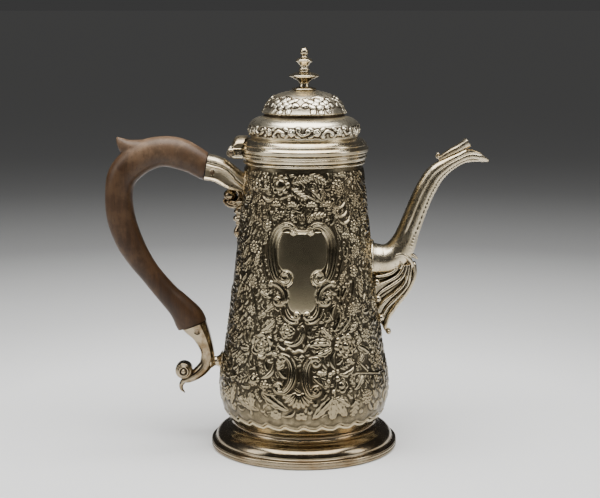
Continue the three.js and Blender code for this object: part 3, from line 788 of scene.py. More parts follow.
def make_finial():
    disc = [
        (1.9, LID_TOP), (7.4, LID_TOP), (7.7, 229.3), (7.2, 229.9), (5.7, 230.2), (4.6, 230.6),
        (1.9, 230.6),
    ]
    finished("finial_base", ring(eased(disc, 0.3), 96), PLAIN)
    lower = smooth([(3.4, 230.9), (2.9, 232.6), (3.6, 234), (5.8, 235.4)], 14)
    knop = eased([(5.8, 235.4), (9.1, 236.9), (9.6, 237.5), (9.4, 238.0), (6, 239.4)], 0.35, closed=False)
    neck = [
        (6, 239.4), (3.4, 240.1), (2.9, 240.8), (3.4, 241.5), (3.3, 242), (2.6, 243), (3.3, 244.6),
        (5.1, 246.4),
    ]
    neck = smooth(neck, 30)
    upper = eased([(5.1, 246.4), (5.3, 246.9), (5.0, 247.6), (2.7, 248.8)], 0.3, closed=False)
    stalk = smooth([(2.7, 248.8), (1.8, 249.6), (1.7, 250.4)], 8)
    outline = [(0, 224.6), (1.5, 224.6), (1.5, 230.9), *lower, *knop, *neck, *upper, *stalk,
               *arc((0, FINIAL_TOP - 2.6), 2.6, -44, 90, 14)[:-1], (0, FINIAL_TOP)]
    finished("finial", turned(outline, 96), PLAIN)
    vertices, faces = ring(eased([(1.8, 225.2), (4, 225.2), (4, 227), (1.8, 227)], 0.25), 6)
    finished("finial_nut", (vertices, faces), PLAIN)


# ----------------------------------------------------------------------------------------------------
# Chased relief
# ----------------------------------------------------------------------------------------------------


def blurred(field, cells):
    """The field smoothed over that many cells. Columns join up round the axis and rows don't."""
    margin = int(4 * cells) + 1
    padded = np.pad(field, ((margin, margin), (0, 0)), mode="edge")
    rows = np.fft.fftfreq(padded.shape[0])[:, None]
    columns = np.fft.rfftfreq(padded.shape[1])[None, :]
    kernel = np.exp(-2 * (np.pi * cells) ** 2 * (rows ** 2 + columns ** 2))
    return np.fft.irfft2(np.fft.rfft2(padded) * kernel, s=padded.shape)[margin:-margin]


def smooth_step(value):
    value = np.clip(value, 0, 1)
    return value * value * (3 - 2 * value)


def rounded(share):
    """A quarter circle: rises from 0 at 0 to 1 at 1, and is level there."""
    share = np.clip(share, 0, 1)
    return np.sqrt(share * (2 - share))


class Relief:
    """A height field over a turned surface: rows follow the outline upwards, columns go round it."""

    shoulder = 1.3
    crease = 0.12

    def __init__(self, outline, spacing, columns):
        points = respaced(outline, spacing)
        self.radius, self.z = points.T
        step = np.gradient(points, axis=0)
        step /= np.linalg.norm(step, axis=1)[:, None]
        self.normal = np.stack([step[:, 1], -step[:, 0]], 1)
        self.along = np.concatenate([[0], np.cumsum(np.linalg.norm(np.diff(points, axis=0), axis=1))])
        self.columns = columns
        self.spacing = spacing
        self.angle = round_angles(columns)
        self.height = np.zeros((len(points), columns))
        self.raised = np.zeros((len(points), columns), bool)
        self.plain = np.zeros((len(points), columns))

    def undulate(self, level, depth, size, seed):
        """A hammered ground at that level, with soft hollows of that size."""
        noise = blurred(np.random.default_rng(seed).standard_normal(self.height.shape), size / self.spacing)
        self.height += level + depth * noise / noise.std()

    def window(self, angle, z, reach):
        """Rows and columns within reach of a point, and each one's place beside and above it in mm."""
        middle = np.interp(z, self.z, self.along)
        rows = np.flatnonzero(np.abs(self.along - middle) <= reach)
        radius = max(6.0, float(np.interp(z, self.z, self.radius)))
        half = min(self.columns // 2 - 1, int(reach / (radius * 0.93) / (2 * math.pi / self.columns)) + 1)
        first = int(round(angle / (2 * math.pi / self.columns)))
        steps = np.arange(-half, half + 1)
        columns = (first + steps) % self.columns
        offset = (first + steps) * 2 * math.pi / self.columns - angle
        beside = self.radius[rows][:, None] * offset[None, :]
        above = (self.along[rows] - middle)[:, None] + 0 * beside
        return np.ix_(rows, columns), beside, above

    def stamp(self, motif, angle, z, turn, reach, under=False, **sizes):
        """Raises a motif at an angle in degrees round the pot, turned anticlockwise by turn degrees. Under
        leaves alone what is raised already."""
        place, beside, above = self.window(math.radians(angle), z, reach)
        c, s = math.cos(math.radians(turn)), math.sin(math.radians(turn))
        self.lay(place, *motif(c * beside + s * above, c * above - s * beside, **sizes), under=under)

    def lay(self, place, distance, height, under=False):
        """Raises the surface inside a motif's outline with a round shoulder, and chases a line round it."""
        patch, taken = self.height[place], self.raised[place] & under
        lifted = np.minimum(patch, 0.1) * (1 - rounded(-distance / self.shoulder))
        lifted = lifted + height * rounded(-distance / self.shoulder)
        groove = self.crease * np.exp(-(np.maximum(distance, 0) / 0.5) ** 2)
        self.height[place] = np.where(taken, patch, np.where(distance <= 0, lifted, patch - groove))
        self.raised[place] |= distance < 0.25

    def crowded(self, angle, z, reach):
        """The share of the surface round a point that is raised already."""
        place, beside, above = self.window(math.radians(angle), z, reach)
        near = np.hypot(beside, above) < reach
        return float(self.raised[place][near].mean()) if near.any() else 1.0

    def tarnish_and_painted_shade(self):
        """Tarnish and painted shade: dark in the hollows and on the low ground, from 0 to 1."""
        tight = (blurred(self.height, 0.7 / self.spacing) - self.height) / 0.16
        wide = (blurred(self.height, 2.2 / self.spacing) - self.height) / 0.5
        low = smooth_step((0.45 - self.height) / 0.55)
        value = 0.10 + 0.34 * np.clip(tight, -1, 1) + 0.34 * np.clip(wide, -1, 1) + 0.5 * low
        return np.clip(value * (1 - self.plain), 0, 1)

    def rows_of_points(self):
        radius = self.radius[:, None] + self.height * self.normal[:, :1]
        height = self.z[:, None] + self.height * self.normal[:, 1:]
        return around(radius, height, self.columns)

    def closed_piece(self, name, inner, smoothing):
        """The relief as an object, closed by the rows of an inner outline, with its looks stored on it."""
        low = smooth_step((0.2 - self.height) / 0.4)
        self.height = blurred(self.height, smoothing)
        inside = around(inner[:, 0], inner[:, 1], self.columns)
        shape = (
            np.vstack([self.rows_of_points(), inside]),
            quads(len(self.z) + len(inner), self.columns, wrap_rows=True),
        )
        piece = make_object(name, shape)
        # The inside rows take a fixed 0.3 of each look, so the inner wall carries some tarnish and painted
        # shade.
        looks = {"tarnish_and_painted_shade": self.tarnish_and_painted_shade(), "matting": low * (1 - self.plain), "plain": self.plain}
        for key, values in looks.items():
            store(piece, key, np.concatenate([values.ravel(), np.full(len(inside), 0.3)]))
        return piece


def along_path(x, y, path):
    """The distance to a path, and how far along it the nearest point lies, from 0 to 1."""
    path = np.asarray(path, float)
    length = np.concatenate([[0], np.cumsum(np.linalg.norm(np.diff(path, axis=0), axis=1))])
    best = np.full(x.shape, 1e9)
    share = np.zeros(x.shape)
    for i in range(len(path) - 1):
        step = path[i + 1] - path[i]
        size = max(step @ step, 1e-9)
        t = np.clip(((x - path[i, 0]) * step[0] + (y - path[i, 1]) * step[1]) / size, 0, 1)
        away = np.hypot(x - path[i, 0] - t * step[0], y - path[i, 1] - t * step[1])
        nearer = away < best
        best = np.where(nearer, away, best)
        share = np.where(nearer, (length[i] + t * (length[i + 1] - length[i])) / length[-1], share)
    return best, share


def curled(points, end, side, start=0.0):
    """A smooth path that curls into a spiral of the given radius at its end, and at its start where one
    is given, towards one side: 1 to the left of the way the path runs and -1 to the right."""
    path = smooth(points, 26)

    def spiral(tip, direction, radius, hand):
        across = hand * np.array([-direction[1], direction[0]])
        centre = tip + across * radius
        angles = np.linspace(0, 2 * math.pi * 0.95, 16)[1:]
        sizes = radius * (1 - 0.62 * angles / angles[-1])
        return np.array([centre - across * size * math.cos(a) + direction * size * math.sin(a)
                         for a, size in zip(angles, sizes)])

    direction = (path[-1] - path[-2]) / np.linalg.norm(path[-1] - path[-2])
    path = np.vstack([path, spiral(path[-1], direction, end, side)])
    if start:
        direction = (path[0] - path[1]) / np.linalg.norm(path[0] - path[1])
        path = np.vstack([spiral(path[0], direction, start, -side)[::-1], path])
    return path


def scroll(x, y, path, width, top=1.3, taper=0.5, lines=3):
    """A raised band along a path, narrower at its ends, with rounded lines that run along it."""
    distance, share = along_path(x, y, path)
    half = width / 2 * (1 - taper * np.abs(2 * share - 1) ** 1.5)
    across = np.clip(distance / half, 0, 1)
    line = np.abs(np.cos(np.pi * lines / 2 * across))
    return distance - half, top * (0.35 + 0.65 * np.sqrt(1 - across ** 2)) * (0.5 + 0.5 * line)


def leaf(x, y, length, width, top=1.1, teeth=3, bend=0.0):
    """A pointed leaf that grows from the origin along x: a raised midrib, hollows beside it and a lobed edge
    that turns up."""
    share = np.clip(x / length, 0, 1)
    y = y - bend * length * share ** 2
    lobes = np.abs(np.cos(np.pi * (teeth * share + 0.5))) ** 0.7
    half = np.maximum(1.28 * width * share ** 0.6 * (1 - share) ** 0.7 * (0.76 + 0.24 * lobes), 0.02)
    side = np.clip(np.abs(y) / half, 0, 1)
    depth = 0.34 * np.clip(half / 1.6, 0, 1)
    veins = 0.20 * np.cos(2 * np.pi * (teeth * share - 0.8 * side)) * side
    distance = np.maximum(np.abs(y) - half, np.maximum(-x, x - length))
    return distance, top * (0.60 + depth * np.cos(2 * np.pi * side) + veins)


def plume(x, y, length, width, top=1.1, count=5, bend=0.0):
    """A feather of rounded fingers that spring forward from a rib along x."""
    share = np.clip(x / length, 0, 1)
    y = y - bend * length * share ** 2
    wave = np.abs(np.sin(np.pi * np.clip(x - 0.9 * np.abs(y), 0, length) * count / length))
    half = np.maximum(width / 2 * np.sin(np.pi * (0.06 + 0.9 * share)) ** 0.6 * (0.5 + 0.5 * wave), 0.02)
    side = np.clip(np.abs(y) / half, 0, 1)
    distance = np.maximum(np.abs(y) - half, np.maximum(-x, x - length))
    return distance, top * (0.15 + 0.85 * wave * np.sqrt(1 - 0.7 * side ** 2))


def flower(x, y, rows, boss=1.2, top=1.2, phase=0.0):
    """An open flower seen from above: rows of cupped petals, as (radius, petals), round a domed heart."""
    rho, angle = np.hypot(x, y), np.arctan2(y, x) + phase
    height = np.zeros_like(rho)
    for k, (radius, petals) in enumerate(rows):
        inner = (*[size for size, _ in rows[1:]], boss)[k]
        wave = np.abs(np.cos(petals / 2 * (angle + 0.7 * k))) ** 0.7
        edge = radius * (0.8 + 0.2 * wave)
        share = np.clip((rho - 0.8 * inner) / (edge - 0.8 * inner), 0, 1)
        petal = (0.3 + 0.7 * wave) * (0.25 + 0.75 * np.sin(0.92 * np.pi * share ** 1.5))
        height = np.where(rho < edge, top * (0.75 + 0.25 * k / len(rows)) * petal, height)
        distance = rho - edge if k == 0 else distance
    heart = top * (0.5 + 0.65 * np.sqrt(np.clip(1 - (rho / boss) ** 2, 0, 1)))
    return distance, np.where(rho < boss, heart, height)


def dome(x, y, radius, top=1.0):
    rho = np.hypot(x, y)
    return rho - radius, top * (0.3 + 0.7 * np.sqrt(np.clip(1 - (rho / radius) ** 2, 0, 1)))


def fan(x, y, radius, ribs=7, top=1.1, opening=150, inner=0.2):
    """A shell: ribs that spread upwards from the origin, with a scalloped edge."""
    rho = np.hypot(x, y)
    angle = np.degrees(np.arctan2(x, y))
    share = angle / opening + 0.5
    wave = np.abs(np.sin(np.pi * ribs * share)) ** 0.8
    edge = radius * (0.84 + 0.16 * wave)
    aside = np.maximum(-share, share - 1) * math.radians(opening) * np.maximum(rho, 0.5)
    distance = np.maximum(np.maximum(rho - edge, aside), inner * radius - rho)
    arched = 0.5 + 0.5 * np.sin(np.pi * np.clip(rho / edge, 0, 1) ** 1.6)
    return distance, top * (0.25 + 0.75 * wave) * arched


# ----------------------------------------------------------------------------------------------------
# The body's chasing
# ----------------------------------------------------------------------------------------------------

CARTOUCHE_ANGLE = -1.8
CARTOUCHE_Z = 121.0
CARTOUCHE_RADIUS = 41.5
RESERVE = [
    (0, 24), (6, 25.5), (11.3, 26), (15, 21), (16, 10.5), (14.6, 3), (11, -1), (9.2, -5), (9.4, -11),
    (9.2, -17), (8.6, -21), (5.5, -25), (0, -26),
]
WAVES = 28


def both_ways(field, place, x, y, path, **sizes):
    for side in (1, -1):
        field.lay(place, *scroll(side * x, y, path, **sizes))


def cartouche(field, turn):
    """A plain shield framed by five pairs of scrolls, with a bar and three leaves above it."""
    angle = CARTOUCHE_ANGLE + turn
    place, x, y = field.window(math.radians(angle), CARTOUCHE_Z, 42)
    half = smooth(RESERVE, 60)
    edge = np.maximum(np.abs(x) - np.interp(-y, -half[:, 1], half[:, 0]), np.abs(y) - 27)
    crown = 0.1 + 1.3 * np.clip(1 - (x / 19) ** 2 - ((y - 3) / 31) ** 2, 0, 1)
    field.height[place] = np.where(edge < 0, crown, field.height[place])
    field.raised[place] |= edge < 0
    field.plain[place] = np.maximum(field.plain[place], smooth_step(-edge / 1.2))
    outer = [(20.5, 27.5), (25.3, 18), (26, 6), (22.5, -6), (16, -10.8)]
    both_ways(field, place, x, y, outer, width=1.5, top=0.8, lines=1)
    main = [
        (4.6, 25.6), (8, 27.8), (12.0, 27.2), (16.4, 22.8), (18.9, 15), (18.9, 7), (17.6, 0), (15.4, -4.8),
        (12.6, -6.9),
    ]
    main = curled(main, start=1.3, end=3.6, side=-1)
    both_ways(field, place, x, y, main, width=7.0, taper=0.56, top=1.7)
    lower = [(19.8, -7.6), (15.4, -8.6), (11.6, -11.6), (10.2, -15.8), (11.2, -19.6), (14.4, -20.6)]
    lower = curled(lower, start=1.0, end=2.4, side=1)
    both_ways(field, place, x, y, lower, width=4.2, taper=0.4, top=1.5)
    foot = curled([(13.4, -23.5), (11.4, -28), (7.5, -31.4), (3.4, -31.8)], end=1.0, side=-1)
    both_ways(field, place, x, y, foot, width=2.0, top=1.2, lines=1)
    inner = curled([(9.8, -20.5), (9.2, -25), (6.6, -28.6), (3.6, -29)], end=2.0, side=-1)
    both_ways(field, place, x, y, inner, width=3.0, taper=0.3, top=1.5)
    bar = scroll(x, y, [(-5, 25.6), (-2.5, 24.4), (2.5, 24.4), (5, 25.6)], 2.2, 1.2, taper=0.1, lines=1)
    field.lay(place, *bar)
    for u, v, direction, length in ((0, 28.5, 90, 6.5), (-3.6, 29.5, 125, 6), (3.6, 29.5, 55, 6)):
        at = angle + math.degrees(u / CARTOUCHE_RADIUS)
        field.stamp(leaf, at, CARTOUCHE_Z + v, direction, 9, length=length, width=3.6, top=1.2)


def zone_scrolls(field, turn):
    """The pair of scrolls and the shell below the cartouche, with a wavy band, a rose and a third scroll
    over them."""
    angle = -4.0 + turn
    place, x, y = field.window(math.radians(angle), 58, 36)
    field.stamp(fan, angle + 0.4, 48.4, 180, 15, radius=11.5, ribs=9, top=1.5, inner=0.15)
    left = [(-9.4, 11.3), (-6.2, 9.9), (-3.9, 5.6), (-3.4, 0), (-5.0, -6), (-8.6, -10.2), (-12, -10.6)]
    right = [(10.5, 9.4), (7.2, 8.9), (4.8, 4.5), (4.2, -1.5), (5.4, -8), (8.2, -12.2), (11.2, -11.8)]
    rose = [(2.2, 29.5), (2.2, 25), (0.2, 20.8), (-3.8, 18.6), (-8.2, 19.6)]
    festoon = [
        (-13, 17.6), (-9, 15.2), (-6, 16.2), (-3, 14.0), (0, 15.0), (3, 14.4), (5, 17.4), (8.5, 18.8),
    ]
    field.lay(place, *scroll(x, y, smooth(festoon, 30), 2.4, 1.2, lines=2))
    field.lay(place, *scroll(x, y, curled(left, start=1.9, end=2.6, side=-1), 5.6, 1.7, taper=0.45))
    field.lay(place, *scroll(x, y, curled(right, start=2.2, end=2.4, side=1), 5.6, 1.7, taper=0.45))
    field.lay(place, *scroll(x, y, smooth(rose, 24), 4.4, 1.5, taper=0.4))
    field.stamp(flower, angle - 8.5, 84.5, 0, 8, rows=[(5.2, 6), (3.4, 5)], boss=1.5, top=1.3)
    field.stamp(leaf, angle - 16, 61.5, 30, 9, length=7, width=4.2, top=1.3, teeth=1)
    field.stamp(leaf, angle + 2.4, 65.5, 90, 8, length=5.4, width=3.2, top=1.5, teeth=1)


# Each row is angle, height, rows of petals, boss.
FLOWERS = [
    (-22.8, 172.9, [(6.6, 8)], 3.3), (33, 171.4, [(5.0, 9), (2.6, 4)], 1.0),
    (-50, 171.8, [(4.6, 6)], 1.8), (53, 162.6, [(4.4, 6), (2.4, 4)], 0.9), (49, 146.6, [(4.2, 6)], 1.6),
    (46, 139.4, [(3.2, 5)], 1.2), (47.7, 131, [(4.2, 6), (2.2, 4)], 0.9), (44, 119, [(3.8, 5)], 1.4),
    (-32, 74.5, [(8.9, 6), (5.6, 5), (3.2, 5)], 1.3), (31.0, 74.4, [(8.2, 9), (4.8, 6)], 2.2),
    (51.5, 78.5, [(4.6, 6), (2.6, 5)], 1.1), (-36, 53, [(4.4, 7)], 2.6), (-27.6, 50.6, [(3.4, 5)], 1.3),
    (45.8, 41, [(5.2, 10), (3.2, 8)], 1.3), (-43.7, 95.3, [(3.8, 5), (2.0, 4)], 0.8),
    (-64, 87.9, [(5.0, 7), (2.8, 5)], 1.1), (-52, 64, [(4.8, 6), (2.6, 5)], 1.1),
    (-46, 113, [(4.6, 6), (2.4, 5)], 1.0), (-47, 134, [(4.2, 6)], 1.5), (-34, 148, [(3.8, 6)], 1.4),
    (40, 96, [(4.4, 7), (2.4, 5)], 1.0), (66, 62, [(5.6, 8), (3.2, 6)], 1.2), (70, 96, [(5, 7)], 1.8),
    (67, 150, [(4.4, 6)], 1.6), (-70, 118, [(4.8, 7)], 1.8), (-68, 152, [(4.4, 6)], 1.6),
    (-78, 52, [(5.6, 8), (3.2, 6)], 1.2), (76, 122, [(4.8, 7)], 1.7), (-62, 40, [(5, 8), (3, 6)], 1.1),
]
# Each row is angle, height, direction, length, width, bend.
LEAVES = [
    (19.3, 44.4, -138, 19, 6.8, 0.10), (19.6, 43.8, -92, 15, 7.4, 0.0), (20.5, 43.8, -66, 16, 6.4, 0.12),
    (21.2, 43.7, -26, 12, 5.6, -0.15), (-29, 47.3, -39, 21, 7.4, 0.12), (-49.4, 41, -28, 18.5, 6.6, 0.12),
    (-36.5, 46.5, -92, 11, 6.2, 0.0), (-52.2, 49, -114, 16, 6.0, 0.1), (-28.6, 47, -20, 10, 4.4, 0.2),
    (20.1, 76.2, 171, 15, 6.6, 0.14), (20, 74, -148, 12, 5.6, -0.2), (20.3, 80, 142, 9.5, 5.0, -0.1),
    (25, 82, 37, 14.5, 5.8, 0.16), (22, 83.6, 52, 11, 4.4, 0.2), (-33.4, 83.4, 28, 12, 7.6, 0.2),
    (-41, 84, 120, 9, 5, 0.2), (-24, 71, -20, 8, 4.6, 0.2), (-43, 72, 195, 9, 5, -0.2),
    (43.8, 88, -134, 10.5, 4.8, -0.2), (38, 63, 150, 7, 4.4, 0.2), (55, 60, 60, 8, 4.4, 0.2),
    (60, 66, 100, 9, 4.6, -0.2), (6.5, 170, -32, 11, 5.4, -0.25), (14, 171, -60, 9, 4.2, -0.2),
    (20, 158, 39, 8.6, 4.6, 0.2), (43, 172, 25, 8, 4.4, 0.2), (-33, 170, 170, 8.5, 4.6, 0.2),
    (44, 178, 160, 7, 4, 0.2), (-58, 122, 32, 9, 4.6, 0.2), (-55, 134, -126, 9.5, 4.8, 0.2),
    (38.7, 112.4, -138, 12, 5.4, 0.2), (21.5, 108, -145, 9, 4.6, -0.2), (-52, 107.7, 178, 13, 5.6, 0.2),
    (-37, 107.5, -10, 9, 5.0, -0.2), (-38, 122, 100, 10, 4.6, -0.2), (-36, 136, 75, 10, 4.4, 0.2),
    (36, 128, 80, 10, 4.6, 0.2), (-56, 146, 60, 9, 4.6, 0.2), (60, 108, 70, 12, 5.4, 0.2),
    (63, 134, 110, 11, 5, -0.2), (-64, 100, 80, 12, 5.4, -0.2), (16, 58.6, 165, 7, 4.0, 0.2),
]
# Each row is angle, height, direction, length, width, bend, fingers.
PLUMES = [
    (-12, 174.4, 22, 12.5, 6.4, -0.15, 5), (4.6, 179.6, -22, 12.5, 5.6, -0.12, 5),
    (-12.3, 171.4, -44, 12, 6.6, 0.15, 5), (-30, 152.6, 18, 9.5, 5.0, 0.1, 4),
    (5.5, 154.8, -6, 10, 5.0, 0.1, 4), (30, 152, 100, 9, 5.0, 0.1, 4), (50, 102, 80, 12, 6, 0.2, 5),
    (-50, 152, 110, 9, 5, 0.1, 4), (-44, 122, 70, 10, 5, 0.1, 4),
]
# Each row is angle, height, path from there, width.
STEMS = [
    (40.6, 64, [(0, 0), (4, -4), (9, -8.5), (17, -10.5), (26, -11)], 1.8),
    (32, 55.8, [(0, 0), (8, 0.5), (18, -1), (30, -4)], 1.6), (-34, 64, [(0, 4), (-1, -2), (0, -8)], 1.6),
    (20, 50, [(3, 8), (1, 2), (0, -6)], 1.6),
    (-42, 100, [(6, -14), (2, -6), (0, 2), (-2, 10), (-1, 18)], 1.5),
    (40, 108, [(-4, -10), (0, -4), (2, 4), (1, 12)], 1.5),
    (-5, 167, [(-12, -3), (-6, -0.5), (0, 0.5), (6, -1), (12, -4)], 1.5),
]
# Each row is angle, height, radius.
BERRIES = [
    (23.2, 54.8, 1.9), (17.9, 57.4, 1.7), (20.4, 58.8, 1.5), (16.6, 53.8, 1.5), (23.6, 59.4, 1.3),
    (19.6, 47.4, 1.4), (57, 164, 1.2), (59.5, 160, 1.3), (56, 158.4, 1.2), (-18.6, 65, 1.4),
]


def motifs(field, turn):
    """The flowers, leaves, plumes, stems and berries that have a place of their own."""
    for angle, z, path, width in STEMS:
        reach = float(np.abs(path).max()) + 4
        field.stamp(scroll, angle + turn, z, 0, reach, path=smooth(path, 20), width=width, top=0.9, lines=1)
    for angle, z, direction, length, width, bend in LEAVES:
        field.stamp(leaf, angle + turn, z, direction, length + 4, length=length, width=width, bend=bend,
                    teeth=3 if length < 13 else 4, top=1.05 if z > 50 else 0.85)
    for angle, z, direction, length, width, bend, count in PLUMES:
        field.stamp(plume, angle + turn, z, direction, length + 4, length=length, width=width, bend=bend,
                    count=count)
    for angle in (-41.7, -26.2, -11.6, 6.6, 21):
        field.stamp(fan, angle + turn, 159.8, 0, 6, radius=3.7, ribs=5, opening=170, inner=0.1)
    for k, (angle, z) in enumerate(((32.7, 160.0), (35.1, 154.6), (38.7, 150.4))):
        path = [(-4.4, 1.6), (-1.8, -0.9), (1.8, -0.9), (4.4, 1.8)]
        field.stamp(scroll, angle + turn, z, 8 * k, 8, path=smooth(path, 14), width=2.4, top=1.2, taper=0.7,
                    lines=1)
    for angle, z, rows, boss in FLOWERS:
        size = rows[0][0]
        field.stamp(flower, angle + turn, z, 0, size + 2.5, rows=rows, boss=boss, top=1.0 + 0.06 * size,
                    phase=angle)
    for angle, z, radius in BERRIES:
        field.stamp(dome, angle + turn, z, 0, 4, radius=radius, top=1.3)


# The size of the motifs in each round of filling, the tries, and how crowded a place may be already.
ROUNDS = [(4.6, 900, 0.22), (3.4, 2200, 0.30), (2.4, 4200, 0.38), (1.7, 5200, 0.42), (1.2, 4000, 0.36)]


def filling(field, random, low, high):
    """Fills the gaps with leaves, crescents, feathers, small flowers and berries, from the largest down."""
    for size, tries, limit in ROUNDS:
        for _ in range(tries):
            angle, z = random.uniform(0, 360), random.uniform(low, high)
            kind, turn, hand = random.random(), random.uniform(0, 360), random.choice((-1, 1))
            length = size * (1.25 if z < 72 else 1.0)
            if field.crowded(angle, z, length * 0.85) > limit * (0.5 if z < 48 else 1.0):
                continue
            if kind < 0.34 and length > 1.5:
                motif = dict(motif=leaf, length=2.1 * length, width=1.05 * length, bend=0.2 * hand, teeth=2)
            elif kind < 0.50 and length > 2:
                motif = dict(motif=plume, length=2.2 * length, width=1.3 * length, bend=0.2 * hand, count=4)
            elif kind < 0.68 and length > 1.5:
                rows = [(0.9 * length, int(random.integers(5, 7)))]
                motif = dict(motif=flower, rows=rows, boss=0.36 * length, phase=turn)
            elif kind < 0.94:
                path = np.array([(0, 0), (0.7, 0.32 * hand), (1.5, 0.30 * hand), (2.1, -0.1 * hand)]) * length
                motif = dict(motif=scroll, path=smooth(path, 10), width=0.72 * length, taper=0.8, lines=1)
            else:
                motif = dict(motif=dome, radius=min(1.6, 0.55 * length))
            shift = 0.0 if motif["motif"] in (flower, dome) else -length
            radius = float(np.interp(z, field.z, field.radius))
            aside = angle + math.degrees(shift * math.cos(math.radians(turn)) / radius)
            height = z + shift * math.sin(math.radians(turn))
            top = random.uniform(0.42, 0.76) * (0.7 if z < 50 else 1.0)
            reach = 2.4 * length + 1
            field.stamp(angle=aside, z=height, turn=turn, reach=reach, under=True, top=top, **motif)


def borders(field):
    """The wavy edge of the chasing above the foot, and the plain band below it."""
    angle = field.angle[None, :]
    line = 24.7 + 0.95 * np.cos(WAVES * angle) + 0.25 * np.cos(2 * WAVES * angle + 0.8)
    above = field.z[:, None] - line
    ridge = 0.85 * np.exp(-(above / 0.55) ** 2) - 0.45 * np.exp(-((above + 1.3) / 0.6) ** 2)
    blend = smooth_step((27.5 - field.z) / 2)[:, None]
    field.height = field.height * (1 - blend) + (ridge - 0.15) * blend
    field.plain = np.maximum(field.plain, 0.9 * blend * (above < -0.4))


def make_body():
    field = Relief(body_curve(), 0.36, 960)
    field.undulate(-0.15, 0.10, 1.3, 5)
    for turn in (0, 180):
        motifs(field, turn)
        zone_scrolls(field, turn)
        cartouche(field, turn)
    field.raised |= (field.z > 180)[:, None]
    for centre, reach in ((90, 15), (270, 12)):
        away = np.abs((np.degrees(field.angle)[None, :] - centre + 180) % 360 - 180)
        field.raised |= np.logical_and(away < reach, np.abs(field.z[:, None] - 118) < 14)
    field.raised |= (field.z < 30)[:, None]
    filling(field, np.random.default_rng(41), 32, 180)
    borders(field)
    fade = smooth_step((field.z - COLLAR_TOP) / 1.5) * (1 - smooth_step((field.z - 179.0) / 2.2))
    field.plain = np.maximum(field.plain, 0.17 * smooth_step((52 - field.z) / 14)[:, None])
    field.height *= fade[:, None]
    curve = respaced(body_curve(), 6.0)[::-1] - (METAL, 0)
    piece = field.closed_piece("body_shell_finished", curve, 0.7)
    finish_piece(piece, "body_shell", CHASED_PAINTED_DARK, edge_angle=60)


# ----------------------------------------------------------------------------------------------------
# The lid's chasing
# ----------------------------------------------------------------------------------------------------


def lid_curve():
    cushion = smooth([(34.2, 201.4), (34.9, 205), (33.9, 208.2), (31.2, 210.7), (27.2, 212.2)], 40, even=True)
    crown = [(25.2, 217.2), (23.4, 220.8), (19.2, 224.8), (14, 227), (8, LID_TOP - 0.5)]
    crown = smooth(crown, 60, even=True)
    lip = [(25.8, 212.8), (25.1, 214.0), (26.2, 214.5), (26.6, 215.3), (25.8, 216.2)]
    return np.vstack([(33.4, LID_STEP), cushion, lip, crown, (4, LID_TOP)])


GARLAND_UNITS = 14
DOME_RADIUS = 23


def garland(field):
    """Scrolls, flowers and leaves in low relief round the lid's cushion."""
    for k in range(GARLAND_UNITS):
        angle, hand = 360 * k / GARLAND_UNITS, 1 if k % 2 else -1
        path = [(-4.4, -1.2 * hand), (-1.4, 1.3 * hand), (2.4, 0.2 * hand)]
        path = curled(path, start=1.2, end=1.2, side=-hand)
        field.stamp(scroll, angle, 204.2, 0, 9, path=path, width=1.9, top=0.75, taper=0.3, lines=1)
        between = angle + 12.9
        field.stamp(flower, between, 204.4, 0, 5, rows=[(2.6, 5)], boss=1.0, top=0.8, phase=k)
        for z, direction in ((205.6, 25), (203.0, -25), (205.6, 155), (203.0, 205)):
            beside = between + (3 if abs(direction) < 90 else -3)
            field.stamp(leaf, beside, z, direction, 6, under=True, length=4.2, width=2.2, top=0.6, teeth=1)


def scale(x, y, radius, top=1.0):
    """A round scale that rises from its upper edge to a lip along its lower one."""
    distance = np.hypot(x, 1.15 * y) - radius
    rise = np.clip(0.5 - 0.5 * y / radius, 0, 1)
    return distance, top * (0.15 + 0.85 * rise ** 0.8) * (0.8 + 0.2 * np.clip(1 - (x / radius) ** 2, 0, 1))


# Each row is mm beside and above the spray's middle, direction, length.
SPRAY_LEAVES = [
    (-3.4, -2.2, 243, 5.4), (0.3, -2.6, 268, 5.8), (4.2, -2.0, 297, 5.2), (-6.4, 0.6, 196, 5.4),
    (6.4, 0.6, -14, 5.4), (-5.4, 3.2, 158, 5.0), (5.4, 3.2, 22, 5.0),
]
# Each row is mm beside and above the spray's middle, radius.
SPRAY_SCALES = [
    (-4.6, -1.4, 2.5), (4.6, -1.4, 2.5), (0, -2.0, 2.7), (-2.7, 0.9, 2.7), (2.7, 0.9, 2.7), (-5.6, 2.0, 2.2),
    (5.6, 2.0, 2.2), (0.2, 3.2, 2.6),
]


def sprays(field):
    """Six sprays round the lid's dome: leaves that hang below, broad scales over them and a curl on top."""
    for k in range(6):
        angle = 60 * k + 24
        for u, v, direction, length in SPRAY_LEAVES:
            beside, z = angle + math.degrees(u / DOME_RADIUS), 220.4 + 0.75 * v
            field.stamp(leaf, beside, z, direction, 7, length=length, width=3.2, top=0.6, teeth=1)
        for u, v, size in SPRAY_SCALES:
            beside = angle + math.degrees(u / DOME_RADIUS)
            field.stamp(scale, beside, 221.0 + 0.75 * v, 4 * u, 5, radius=size, top=0.8)
        path = curled([(-3.2, 0.2), (0, 1.0), (3.0, -0.2)], end=1.1, side=-1)
        field.stamp(scroll, angle, 224.6, 0, 7, path=path, width=1.7, top=0.6, taper=0.4, lines=1)


